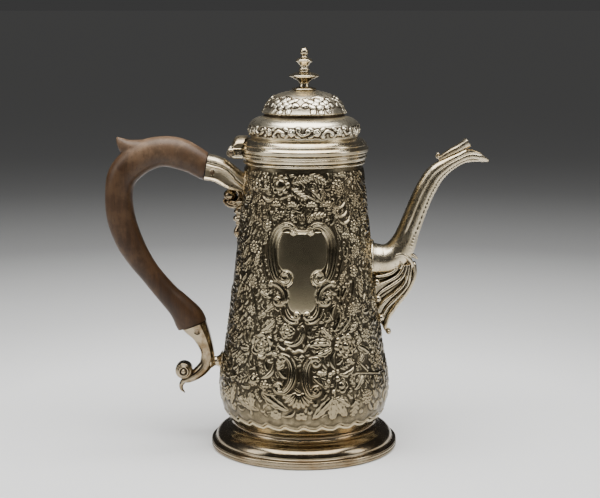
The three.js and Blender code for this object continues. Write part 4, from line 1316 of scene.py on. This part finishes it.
def make_lid():
    field = Relief(lid_curve(), 0.32, 768)
    field.shoulder, field.crease = 0.7, 0.35
    garland(field)
    sprays(field)
    field.height -= 0.45 * np.exp(-((field.z - 213.4) / 0.8) ** 2)[:, None]
    field.plain[:] = 0.75
    for height, reach in ((204.2, 3.4), (220.6, 5.6), (213.4, 0.9)):
        field.plain[np.abs(field.z - height) < reach] = 0.0
    fade = smooth_step((field.z - LID_STEP) / 1.0) * (1 - smooth_step((field.z - 227.2) / 0.8))
    field.height *= fade[:, None]
    inside = smooth([(7, 227.5), (13.4, 226), (18.5, 223.8), (22.4, 220), (24, 216), (25, 212.3),
                     (30.4, 210), (32.9, 207.6), (33.8, 205), (33.2, 202), (32.4, LID_STEP)], 45, even=True)
    under = np.vstack([(2, LID_TOP), (2, 227.8), inside])
    finish_piece(field.closed_piece("lid_cover_finished", under, 0.8), "lid_cover", CHASED_LID_PAINTED_BRIGHT, edge_angle=60)


# ----------------------------------------------------------------------------------------------------
# Hinge
# ----------------------------------------------------------------------------------------------------

KNUCKLE_LENGTH = (HINGE_LENGTH - (KNUCKLES - 1) * KNUCKLE_GAP) / KNUCKLES


def knuckle_middle(i):
    return -HINGE_LENGTH / 2 + KNUCKLE_LENGTH / 2 + i * (KNUCKLE_LENGTH + KNUCKLE_GAP)


def moulding_space():
    """The outside of the mouldings that the hinge straps are fitted against."""
    outline = [
        (0, 180), (39.9, 180), (39.9, 190.1), (40.7, 190.1), (40.8, 193.4), (39.7, 194.6), (39.5, 196.1),
        (37.7, 198.7), (34.8, 200), (35.2, 205), (0, 205),
    ]
    return turned(outline, 128)


def hinge_leaf(node, strap, first, against):
    low = min(z for _, z in strap) if first else max(z for _, z in strap)
    shape = bun(np.array(eased(strap, 0.4)), HINGE_LENGTH / 2, 1.6, -39, (low + strap[0][1]) / 2)
    piece = make_object(node + "_finished", shape)
    flip_if_inside_out(piece)
    for i in range(KNUCKLES):
        own = (i - first) % 2 == 0
        radius = KNUCKLE_RADIUS if own else KNUCKLE_RADIUS + 0.35
        half = KNUCKLE_LENGTH / 2 if own else KNUCKLE_LENGTH / 2 + KNUCKLE_GAP
        middle = knuckle_middle(i)
        soft = 0.45 if own else 0.01
        outline = [(0, middle - half), (radius - soft, middle - half), (radius, middle - half + soft),
                   (radius, middle + half - soft), (radius - soft, middle + half), (0, middle + half)]
        boolean(piece, rod_along_y(HINGE_X, HINGE_Z, outline), "UNION" if own else "DIFFERENCE")
    bore = [(0, -14), (1.2, -14), (1.2, 14), (0, 14)]
    boolean(piece, rod_along_y(HINGE_X, HINGE_Z, bore))
    boolean(piece, against)
    finish_piece(piece, node, PLAIN, edge_angle=30)


def make_hinge():
    against = moulding_space()
    body_strap = [
        (HINGE_X, 187.4), (-44, 186.4), (-37, 186.4), (-37, 188.9), (-43.8, 188.9), (HINGE_X, 189.6),
    ]
    lid_strap = [
        (HINGE_X, 190.6), (-43.4, 190.9), (-37, 190.9), (-37, 193.5), (-43.8, 193.5), (HINGE_X, 192.6),
    ]
    hinge_leaf("hinge_body_leaf", body_strap, 0, against)
    hinge_leaf("hinge_lid_leaf", lid_strap, 1, against)
    make_hood(against)
    end = HINGE_LENGTH / 2 + 0.5
    pin = [(0, -end), (0.9, -end + 0.1), (1.5, -end + 0.5), (1.5, -end + 0.9), (1.1, -end + 1.0)]
    pin = pin + [(radius, -y) for radius, y in reversed(pin)]
    finished("hinge_pin", rod_along_y(HINGE_X, HINGE_Z, pin, 32), PIN)


def make_hood(against):
    """The hood over the lid's hinge strap: a bun-ended block with a rib round its outer edge."""
    profile = np.array(eased([(-45.6, 193.8), (-45.3, 195.3), (-43.9, 198.0), (-43.0, 198.9), (-41.4, 199.6),
                              (-33, 199.6), (-33, 193.8)], 0.7, steps=6))
    ribs = ((0.42, 0.07, 0.30), (0.20, 0.06, 0.25))
    piece = make_object("hinge_hood_finished", bun(profile, HINGE_LENGTH / 2 - 0.3, 8.0, -38.5, 193.8, ribs))
    flip_if_inside_out(piece)
    boolean(piece, against)
    finish_piece(piece, "hinge_hood", SATIN, edge_angle=34)


# ----------------------------------------------------------------------------------------------------
# Handle
# ----------------------------------------------------------------------------------------------------


def joint_plate(joint, side, gap):
    """A thick plate on one side of a joint face: side 1 is the socket's side and -1 the wood's."""
    first, second = (np.array(p, float) for p in joint)
    along = (second - first) / np.linalg.norm(second - first)
    middle = (first + second) / 2
    towards = np.array([-along[1], along[0]])

    def corner(sideways, distance):
        return middle + along * sideways + towards * side * distance

    outline = [corner(-22, gap), corner(22, gap), corner(22, 30), corner(-22, 30)]
    return plate(outline if side > 0 else outline[::-1], 40)


def make_handle():
    grip = loft(HANDLE_LINE, 150, 56, superellipse(2.3))
    thumb_rest = loft(THUMB_REST_LINE, 60, 40, superellipse(2.2))
    piece = make_object("handle_wood_finished", joined([grip, thumb_rest]))
    melt(piece, 0.6, 6)
    for joint in (UPPER_JOINT, LOWER_JOINT):
        boolean(piece, joint_plate(joint, 1, -WOOD_OVERLAP))
    finish_piece(piece, "handle_wood", WOOD, edge_angle=50, tarnish_and_painted_shade=False)


def make_pins():
    for node, (x, z), half in (("upper_socket_pin", UPPER_PIN, 7.7), ("lower_socket_pin", LOWER_PIN, 7.5)):
        outline = [
            (0, -half), (0.7, -half + 0.05), (1.2, -half + 0.5), (1.2, half - 0.5), (0.7, half - 0.05),
            (0, half),
        ]
        finished(node, rod_along_y(x, z, outline, 24), PIN)


def sink_for_pin(piece, pin, depth):
    """A dished recess round the pin's end on each side."""
    x, z = pin
    for side in (-1, 1):
        dish = [(0, 12), (2.4, 12), (2.1, depth + 0.4), (1.3, depth), (0, depth)]
        dish = [(radius, side * y) for radius, y in dish]
        boolean(piece, rod_along_y(x, z, dish[::-side], 32))


SOCKET_CAP = [
    (0, 0), (0.03, 0.30), (0.14, 0.60), (0.34, 0.82), (0.62, 0.92), (0.78, 0.92), (0.84, 0.86),
    (0.88, 0.87), (0.93, 0.95), (1.0, 0.99),
]
SOCKET_PANEL = [
    (0.05, 0.96), (0.08, 0.90), (0.14, 0.86), (0.35, 0.84), (0.60, 0.85), (0.74, 0.86), (0.79, 0.92),
    (0.86, 0.97), (0.93, 0.88), (0.98, 0.55), (1.0, 0.0),
]


def socket_section(sides):
    """The upper socket's section. The raised line swoops down the side as the socket nears the body."""
    def section(angle, share):
        line = np.interp(share, [0, 0.35, 0.62, 0.8, 0.92, 1], [-0.26, -0.20, -0.34, -0.22, 0.15, 0.5])
        upper = [(-1 + t * (line + 1), depth) for t, depth in SOCKET_CAP]
        lower = [(line + t * (1 - line), depth) for t, depth in SOCKET_PANEL]
        return whole_section(thinned(respaced(np.array(upper + lower), 0.01), sides // 2 + 1))
    return section


def make_upper_socket():
    piece = make_object("upper_socket_finished", loft(UPPER_SOCKET_LINE, 90, 144, socket_section(144)))
    flip_if_inside_out(piece)
    boolean(piece, joint_plate(UPPER_JOINT, -1, -SOCKET_OVERLAP))
    sink_for_pin(piece, UPPER_PIN, 6.8)
    finish_piece(piece, "upper_socket", SATIN, edge_angle=50, reach=2.0)
    make_socket_plate()
    make_socket_drop()


def make_socket_plate():
    """The cast plate that spreads the socket's load over the wall: an oval patch that follows the body."""
    rows, columns = 40, 64
    share = np.linspace(0, 1, rows)
    angle = round_angles(columns)
    y = 10.6 * share[:, None] * np.cos(angle)[None, :]
    z = 170 + 11.5 * share[:, None] * np.sin(angle)[None, :]
    rim = 0.5 * np.exp(-((share - 0.86) / 0.07) ** 2)
    crown = (1.3 * np.sqrt(np.clip(1.02 - share ** 2, 0, 1)) + rim)[:, None]
    radius = body_radius(z) - 0.4 + crown
    x = -np.sqrt(np.maximum(radius ** 2 - y ** 2, 0))
    front = np.stack([x, y, z + 0 * x], -1).reshape(-1, 3)
    back = front.copy()
    inner = body_radius(z.ravel()) - 0.9
    back[:, 0] = -np.sqrt(np.maximum(inner ** 2 - back[:, 1] ** 2, 0))
    vertices = np.vstack([front, back])
    faces = quads(rows, columns)
    behind = faces[:, ::-1] + rows * columns
    edges = []
    for j in range(columns):
        here, beside = (rows - 1) * columns + j, (rows - 1) * columns + (j + 1) % columns
        edges.append((here, beside, beside + rows * columns, here + rows * columns))
    piece = make_object("upper_socket_plate_finished", (vertices, faces.tolist() + behind.tolist() + edges))
    finish_piece(piece, "upper_socket_plate", CAST)


DROP_OUTLINE = [
    (134.6, 0.5), (135.4, 2.0), (137.2, 3.3), (139.2, 3.7), (141.2, 3.1), (142.6, 2.2), (144.2, 2.9),
    (145.5, 3.1), (145.9, 4.4), (147.4, 5.1), (148.9, 4.5), (149.3, 3.4), (150.3, 3.4), (150.7, 4.5),
    (151.9, 4.9), (153.1, 4.3), (153.7, 3.9), (155.2, 4.9), (156.9, 7.2), (158.4, 9.3), (159.2, 8.9),
    (159.6, 5.4), (161.0, 3.4), (164, 3.0), (166, 1.0),
]


def make_socket_drop():
    """The drop cast against the body under the socket: a ball in a scroll, a cup, two rings and a bud."""
    outline = respaced(np.array(eased(DROP_OUTLINE, 0.5, closed=False)), 0.25)
    z, radius = outline.T
    angle = round_angles(48)
    wall = body_radius(z) - 0.5
    reach = np.maximum(radius[:, None] * np.cos(angle)[None, :], -0.3)
    x = -wall[:, None] - reach
    y = 0.72 * radius[:, None] * np.sin(angle)[None, :]
    rows = np.stack([x, y, z[:, None] + 0 * x], -1).reshape(-1, 3)
    stem_shape = closed_rows(rows, len(z), 48, (-wall[0] - 0.2, 0, z[0]), (-wall[-1] - 0.2, 0, z[-1]))
    vertices, faces = ball((0, 0, 0), 4.1, 40)
    knob = (vertices * (1.05, 1.1, 0.92) + (-46.8, 0, 162.3), faces)
    angles = np.radians(np.linspace(100, -130, 16))
    turn = [(-45.6 + 4.9 * math.cos(a), 162 + 4.7 * math.sin(a)) for a in angles]
    shapes = [stem_shape, knob]
    for y in (-3.4, 3.4):
        shapes.append(tube([(x, y, z) for x, z in turn], np.linspace(0.9, 1.3, 16), 14, 80))
    brow = [(-51.2, 0, 159.6), (-49.0, 0, 156.9), (-45.7, 0, 155.4), (-42.4, 0, 155.6), (-39.9, 0, 157.6)]
    for y in (-3.6, 0, 3.6):
        shapes.append(tube([(x, y, z) for x, _, z in brow], [0.7, 1.0, 1.1, 1.0, 0.8], 14, 60))
    piece = make_object("upper_socket_drop_finished", joined(shapes))
    melt(piece, 0.28, 2)
    boolean(piece, body_space(130, 176, 0.8))
    finish_piece(piece, "upper_socket_drop", AGED, edge_angle=60)


LOWER_SECTION = [
    (-1.0, 0.0), (-0.99, 0.40), (-0.94, 0.60), (-0.56, 0.93), (-0.48, 0.99), (-0.38, 0.96), (-0.10, 1.0),
    (0.30, 0.96), (0.62, 0.86), (0.86, 0.64), (0.98, 0.34), (1.0, 0.0),
]


def lower_section(sides):
    half = respaced(np.array(eased(LOWER_SECTION, 0.06, closed=False, least_turn=8)), 0.01)
    whole = whole_section(thinned(half, sides // 2 + 1))
    return lambda angle, share: whole


def make_lower_socket():
    line = LOWER_SOCKET_LINE + [(-77.8, 41.9, 2.0, 4.2)]
    piece = make_object("lower_socket_finished", loft(line, 120, 96, lower_section(96)))
    flip_if_inside_out(piece)
    boolean(piece, joint_plate(LOWER_JOINT, -1, -SOCKET_OVERLAP))
    sink_for_pin(piece, LOWER_PIN, 6.6)
    finish_piece(piece, "lower_socket", AGED, edge_angle=40)
    face = [
        (0, -7.0), (1.0, -6.9), (1.5, -6.4), (1.7, -5.9), (2.2, -5.8), (2.7, -6.2), (3.3, -6.1),
        (3.7, -5.5), (4.0, -5.1), (4.7, -4.9), (5.3, -4.1), (5.5, -2.6),
    ]
    drum = eased(face + [(radius, -y) for radius, y in reversed(face)], 0.4, closed=False)
    finished("lower_socket_scroll", rod_along_y(-77.6, 48.5, drum, 80), AGED, reach=2.5)
    tail = [
        (-75.4, 43.0, 1.5, 3.6), (-77.8, 41.2, 1.7, 3.5), (-79.5, 38.6, 1.5, 3.1),
        (-79.3, 35.8, 1.1, 2.3), (-77.3, 33.1, 0.25, 0.7),
    ]
    finished("lower_socket_tail", loft(tail, 50, 32, superellipse(2.6)), AGED)
    strut = [
        (0, 0), (7.0, 0), (6.0, 0.9), (3.9, 2.2), (3.0, 3.8), (3.1, 5.2), (4.6, 7.0), (4.8, 8.2), (4.0, 9.6),
        (0, 9.6),
    ]
    vertices, faces = turned(eased(strut, 0.8, closed=False), 64)
    lying = np.column_stack([-vertices[:, 2] - 52.5, vertices[:, 1], vertices[:, 0] + 54.2])
    finished("lower_socket_strut", (lying, faces), CAST)


# ----------------------------------------------------------------------------------------------------
# Spout
# ----------------------------------------------------------------------------------------------------

# Half of the spout's section from the middle of its top to the middle of its underside, as
# (towards the top, to the side) in units of its half height and half depth.
SPOUT_SECTION = [
    (1.0, 0.0), (0.96, 0.32), (0.84, 0.60), (0.62, 0.82), (0.38, 0.92), (0.22, 0.90), (0.13, 0.85),
    (0.04, 0.90), (-0.12, 0.96), (-0.36, 0.94), (-0.52, 0.84), (-0.60, 0.80), (-0.67, 0.80),
    (-0.71, 0.72), (-0.74, 0.56), (-0.82, 0.44), (-0.94, 0.28), (-1.02, 0.0),
]
SPOUT_BEAD = (-0.66, 0.80)
BEAD_PITCH = 1.7


def spout_section(sides, length):
    """The section, and a row of beads along the edge of the underside for `length` mm of spout."""
    whole = whole_section(smooth(SPOUT_SECTION, sides // 2 + 1, even=True))
    near_bead = np.hypot(whole[0] - SPOUT_BEAD[0], np.abs(whole[1]) - SPOUT_BEAD[1])
    bead = np.exp(-(near_bead / 0.075) ** 2)

    def section(angle, share):
        strength = smooth_step((share - 0.24) / 0.16) * (1 - 0.8 * smooth_step((share - 0.84) / 0.1))
        turned_angle = np.linspace(0, 2 * math.pi, len(whole[0]), endpoint=False)
        plain = np.cos(turned_angle), np.sin(turned_angle)
        across = -(plain[0] * (1 - strength) + whole[0] * strength)
        depth = plain[1] * (1 - strength) + whole[1] * strength
        wave = math.sin(math.pi * share * length / BEAD_PITCH) ** 2
        swell = 1 + 0.085 * bead * wave * strength * (share < 0.86)
        return across * swell, depth * swell

    return section


def line_length(line):
    points = smooth(np.asarray(line, float)[:, (0, 1)], LINE_POINTS)
    return float(np.linalg.norm(np.diff(points, axis=0), axis=1).sum())


def make_spout():
    shape = loft(SPOUT_LINE, 420, 128, spout_section(128, line_length(SPOUT_LINE)))
    piece = make_object("spout_tube_finished", shape)
    boolean(piece, loft(SPOUT_LINE, 90, 40, grow=-SPOUT_WALL, span=(0.01, 0.96)))
    opening = [
        (101.8, 189.6), (102.6, 190.9), (106, 190.9), (111.4, 188.8), (118, 183.8), (118, 198),
        (101.8, 198),
    ]
    boolean(piece, plate(opening, 30))
    finish_piece(piece, "spout_tube", SPOUT, edge_angle=34)
    turns = np.linspace(-1.9, 1.9, 33)
    depth = 44.3 - 1.6 * np.sin(turns) ** 2 - 0.9 * np.cos(turns)
    ring_line = np.column_stack([depth, 12.2 * np.sin(turns), 120.6 + 12.0 * np.cos(turns)])
    finished("spout_collar", tube(ring_line, [1.15] * len(turns), 16, 140), CAST)
    crest = [
        (84.8, 184.9, 1.3, 2.0), (88.2, 187.0, 1.9, 2.6), (93, 189.8, 2.4, 3.3), (97.6, 192.2, 2.6, 3.8),
        (100.2, 193.8, 2.8, 4.2), (103.4, 196.0, 3.1, 4.8),
    ]
    crest = loft(crest, 60, 40, superellipse(2.6))
    curl = [(86.6, 0, 185.9), (85.0, 0, 186.2), (84.0, 0, 187.2), (84.4, 0, 188.3), (85.4, 0, 188.3)]
    curl = tube(curl, [1.2, 1.1, 1.0, 0.9, 0.8], 14, 50)
    piece = make_object("spout_crest_finished", joined([crest, curl]))
    melt(piece, 0.25, 2)
    boolean(piece, plate([(101.7, 184), (101.9, 202), (112, 202), (112, 184)], 30))
    finish_piece(piece, "spout_crest", SATIN, edge_angle=40)


SHELL_RIDGES = [
    [(61.4, 118.8), (60.7, 117.6), (56.3, 113.0), (51, 111.0), (44.0, 110.4)],
    [(63.2, 118.0), (62.7, 115.2), (58.9, 110.3), (53.2, 107.1), (44, 104.2)],
    [(65.0, 118.0), (64.6, 115.2), (62.1, 109.4), (56.4, 105.1), (50, 101.2), (45.5, 97.6)],
    [(66.8, 118.0), (66.2, 113.9), (64.1, 106.1), (57.7, 99.2), (50.6, 93.6), (46.5, 89.0)],
    [(68.6, 118.0), (67.8, 113.9), (66.3, 105.4), (59.7, 97), (52.4, 89.6), (48.6, 80.4)],
    [(70.3, 119.1), (70.4, 110.7), (66.1, 100.9), (58.9, 91.1), (54.0, 83.2), (51.9, 76.6), (52.8, 72.8)],
]
SHELL_OUTER = [
    (71.2, 119.4), (71.3, 110.7), (67.0, 100.6), (59.8, 90.4), (54.9, 82.4), (53.2, 76.6), (54.2, 72.6),
]


def shell_depth(x, z):
    """Half the shell's depth along y: wide where it lies on the body and narrow at its outer rib."""
    rib = np.array(SHELL_RIDGES[-1][::-1])
    wall = body_radius(z)
    share = np.clip((x - wall) / np.maximum(np.interp(z, rib[:, 1], rib[:, 0]) - wall, 2.0), 0, 1)
    return 10.5 * (1 - share) ** 0.8 + 2.9 * share


def make_spout_shell():
    steps = 64
    lines = [thinned(respaced(smooth(line, 60), 0.4), steps) for line in SHELL_RIDGES + [SHELL_OUTER]]
    shapes = [shell_web(lines, steps)]
    thickness = (0.95, 0.9, 1.05, 1.0, 1.1, 1.6)
    for line, size in zip(lines, thickness):
        points = line[::4]
        depth = shell_depth(points[:, 0], points[:, 1]) * 0.97
        share = np.linspace(0, 1, len(points))
        radii = size * (0.62 + 0.5 * np.sin(math.pi * np.clip(0.12 + 0.80 * share, 0, 1)))
        for side in (-1, 1):
            sideways, up = side * (depth - 0.35 * size), points[:, 1] + 0.17 * depth * 0.6
            shapes.append(tube(np.column_stack([points[:, 0], sideways, up]), radii, 14, 90))
    for x, z, size in ((46.0, 107.9, 2.2), (46.8, 97.2, 2.4), (49.0, 84.8, 2.2), (54.3, 74.0, 1.7)):
        for side in (-1, 1):
            shapes.append(ball((x, side * (shell_depth(x, z) - 0.8), z), size, 24))
    shapes += shell_knot()
    piece = make_object("spout_shell_finished", joined(shapes))
    melt(piece, 0.30, 1)
    boolean(piece, body_space(60, 140, 0.6))
    finish_piece(piece, "spout_shell", SHELL, edge_angle=60, reach=3.0)


def shell_web(lines, steps):
    """The solid between the ridges, sunk into deep hollows between each pair."""
    sunk = (0.72, 0.52, 0.80, 0.46, 0.80, 0.46)
    rows, depths = [lines[0]], [0.80]
    for k in range(len(lines) - 2):
        for t in (0.33, 0.66, 1.0):
            rows.append(lines[k] * (1 - t) + lines[k + 1] * t)
            depths.append(sunk[k + 1] if t < 1 else 0.80)
    rows.append(lines[-1])
    depths.append(0.5)
    grid = np.array(rows)
    half = shell_depth(grid[..., 0], grid[..., 1]) * np.array(depths)[:, None]
    fade = np.linspace(1, 0, steps)[None, :] ** 2
    half = half * (1 - 0.25 * fade) + 0.2
    near = np.stack([grid[..., 0], -half, grid[..., 1] + 0.1 * half], -1)
    far = near * (1, -1, 1)
    count = len(rows)
    loops = [np.vstack([near[:, j], far[::-1, j]]) for j in range(steps)]
    vertices = np.vstack(loops)
    return closed_rows(vertices, steps, 2 * count, loops[0].mean(0), loops[-1].mean(0))


def shell_knot():
    """The knot where the ridges meet: a volute with its bead, a leaf arched over it and a thorn."""
    shapes = []
    angles, radii = np.radians(np.linspace(-60, 300, 22)), np.linspace(3.2, 1.4, 22)
    volute = [(58.8 + r * math.cos(a), 118.9 + r * math.sin(a)) for a, r in zip(angles, radii)]
    arch = [
        (54.8, 8.0, 120.6), (56.2, 8.0, 122.9), (60.7, 7.4, 125.4), (64.4, 6.4, 124.0), (67.6, 4.8, 120.8),
        (69.4, 3.4, 116.5),
    ]
    thorn = [(66.0, 121.8, 1.9), (67.6, 124.0, 1.6), (70.0, 123.2, 1.2), (72.8, 121.2, 0.5)]
    for side in (-1, 1):
        shapes.append(tube([(x, side * 7.4, z) for x, z in volute], np.linspace(1.15, 0.8, 22), 14, 90))
        shapes.append(ball((57.4, side * 7.8, 119.3), 1.2, 20))
        leaf_line = [(x, side * depth, z) for x, depth, z in arch]
        shapes.append(tube(leaf_line, [0.8, 1.2, 1.5, 1.5, 1.3, 1.0], 14, 70))
        shapes.append(tube([(x, side * 1.6, z) for x, z, _ in thorn], [size for *_, size in thorn], 14, 40))
    return shapes


# ----------------------------------------------------------------------------------------------------
# Studio
# ----------------------------------------------------------------------------------------------------

CAMERA_DISTANCE = 912.6
CAMERA_HEIGHT = 281.9
CAMERA_DOWN = 9.6
CAMERA_LENS = 87.0
CAMERA_SENSOR = 36.0
CAMERA_SIDE = 2.6
ROOM_GREY = 0.046
# The distance in metres that the ends of the paper's two ramps stand for.
PAPER_REACH = 4.0
# Each row is name, place, aim and size in metres, and watts.
LIGHTS = [
    ("overhead", (0.0, -0.20, 1.28), (0, -0.02, 0.1), (1.5, 1.15), 38),
    ("left", (-1.25, -0.45, 0.75), (0, 0, 0.12), (0.5, 0.9), 6),
    ("right", (1.35, -0.35, 0.75), (0, 0, 0.12), (0.5, 0.9), 6),
]


def grey_ramp(n, value, stops):
    """A grey that changes with the value through the given (value, grey) stops."""
    ramp = n.tree.nodes.new("ShaderNodeValToRGB")
    n.link(value, ramp.inputs["Fac"])
    elements = ramp.color_ramp.elements
    while len(elements) < len(stops):
        elements.new(0.5)
    for element, (position, grey) in zip(elements, stops):
        element.position = position
        element.color = (grey, grey, grey * 0.985, 1)
    return ramp.outputs["Color"]


def floor_material():
    """Seamless studio paper with painted shade: pale round the pot, its colour falls off into the dark of the
    room, where a faint painted glow matches the room's grey.
    """
    n = Nodes("studio_paper")
    length = n.tree.nodes.new("ShaderNodeVectorMath")
    length.operation = "LENGTH"
    n.link(n.place, length.inputs[0])
    away = n.maths("DIVIDE", length.outputs["Value"], PAPER_REACH)
    # Painted shade: the paper's colour darkens with distance from the pot.
    paper = [(0.0, 0.90), (0.06, 0.87), (0.10, 0.63), (0.20, 0.27), (0.33, 0.13), (0.5, 0.03), (1.0, 0.0)]
    paper = grey_ramp(n, away, paper)
    # A painted glow on the far paper, up to the room's grey.
    shade = grey_ramp(n, away, [(0.0, 0.0), (0.2, 0.0), (0.33, 0.018), (0.5, 0.044), (1.0, 0.047)])
    grain = n.bump(n.noise(1.5, 3), 0.02)
    n.shader.inputs["Emission Strength"].default_value = 1.0
    return n.finish(Base_Color=paper, Emission_Color=shade, Roughness=0.75, Normal=grain)


def make_floor():
    steps = np.concatenate([[0.01], np.geomspace(0.05, 60, 40)]) / MM
    outline = [(0, 0)] + [(r, 0) for r in steps] + [(steps[-1], -5), (0, -5)]
    vertices, faces = turned([(r, z - 0.05) for r, z in outline][::-1], 96)
    floor = make_object("studio_floor", (vertices, faces))
    floor.data.materials.append(floor_material())


def softbox(name, place, aim, size, power):
    light = bpy.data.lights.new(name, "AREA")
    light.shape = "RECTANGLE"
    light.size, light.size_y = size
    light.energy = power
    lamp = bpy.data.objects.new(name, light)
    lamp.location = place
    direction = Vector(aim) - Vector(place)
    lamp.rotation_euler = direction.to_track_quat("-Z", "Y").to_euler()
    lamp.visible_camera = False
    bpy.context.scene.collection.objects.link(lamp)


def make_studio():
    make_floor()
    for light in LIGHTS:
        softbox(*light)
    world = bpy.data.worlds.new("studio")
    world.use_nodes = True
    world.node_tree.nodes["Background"].inputs["Color"].default_value = (ROOM_GREY, ROOM_GREY, ROOM_GREY, 1)
    bpy.context.scene.world = world
    camera = bpy.data.objects.new("camera", bpy.data.cameras.new("camera"))
    camera.data.lens = CAMERA_LENS
    camera.data.sensor_width = CAMERA_SENSOR
    camera.location = ((AXIS_X - CAMERA_SIDE) * MM, -CAMERA_DISTANCE * MM, CAMERA_HEIGHT * MM)
    camera.rotation_euler = (math.radians(90 - CAMERA_DOWN), 0, 0)
    bpy.context.scene.collection.objects.link(camera)
    bpy.context.scene.camera = camera


make_studio()
make_foot()
make_mouth()
make_body()
make_lid_rings()
make_lid()
make_finial()
make_hinge()
make_handle()
make_pins()
make_upper_socket()
make_lower_socket()
make_spout()
make_spout_shell()


def corners(box):
    return [[float(value) for value in corner] for corner in box]
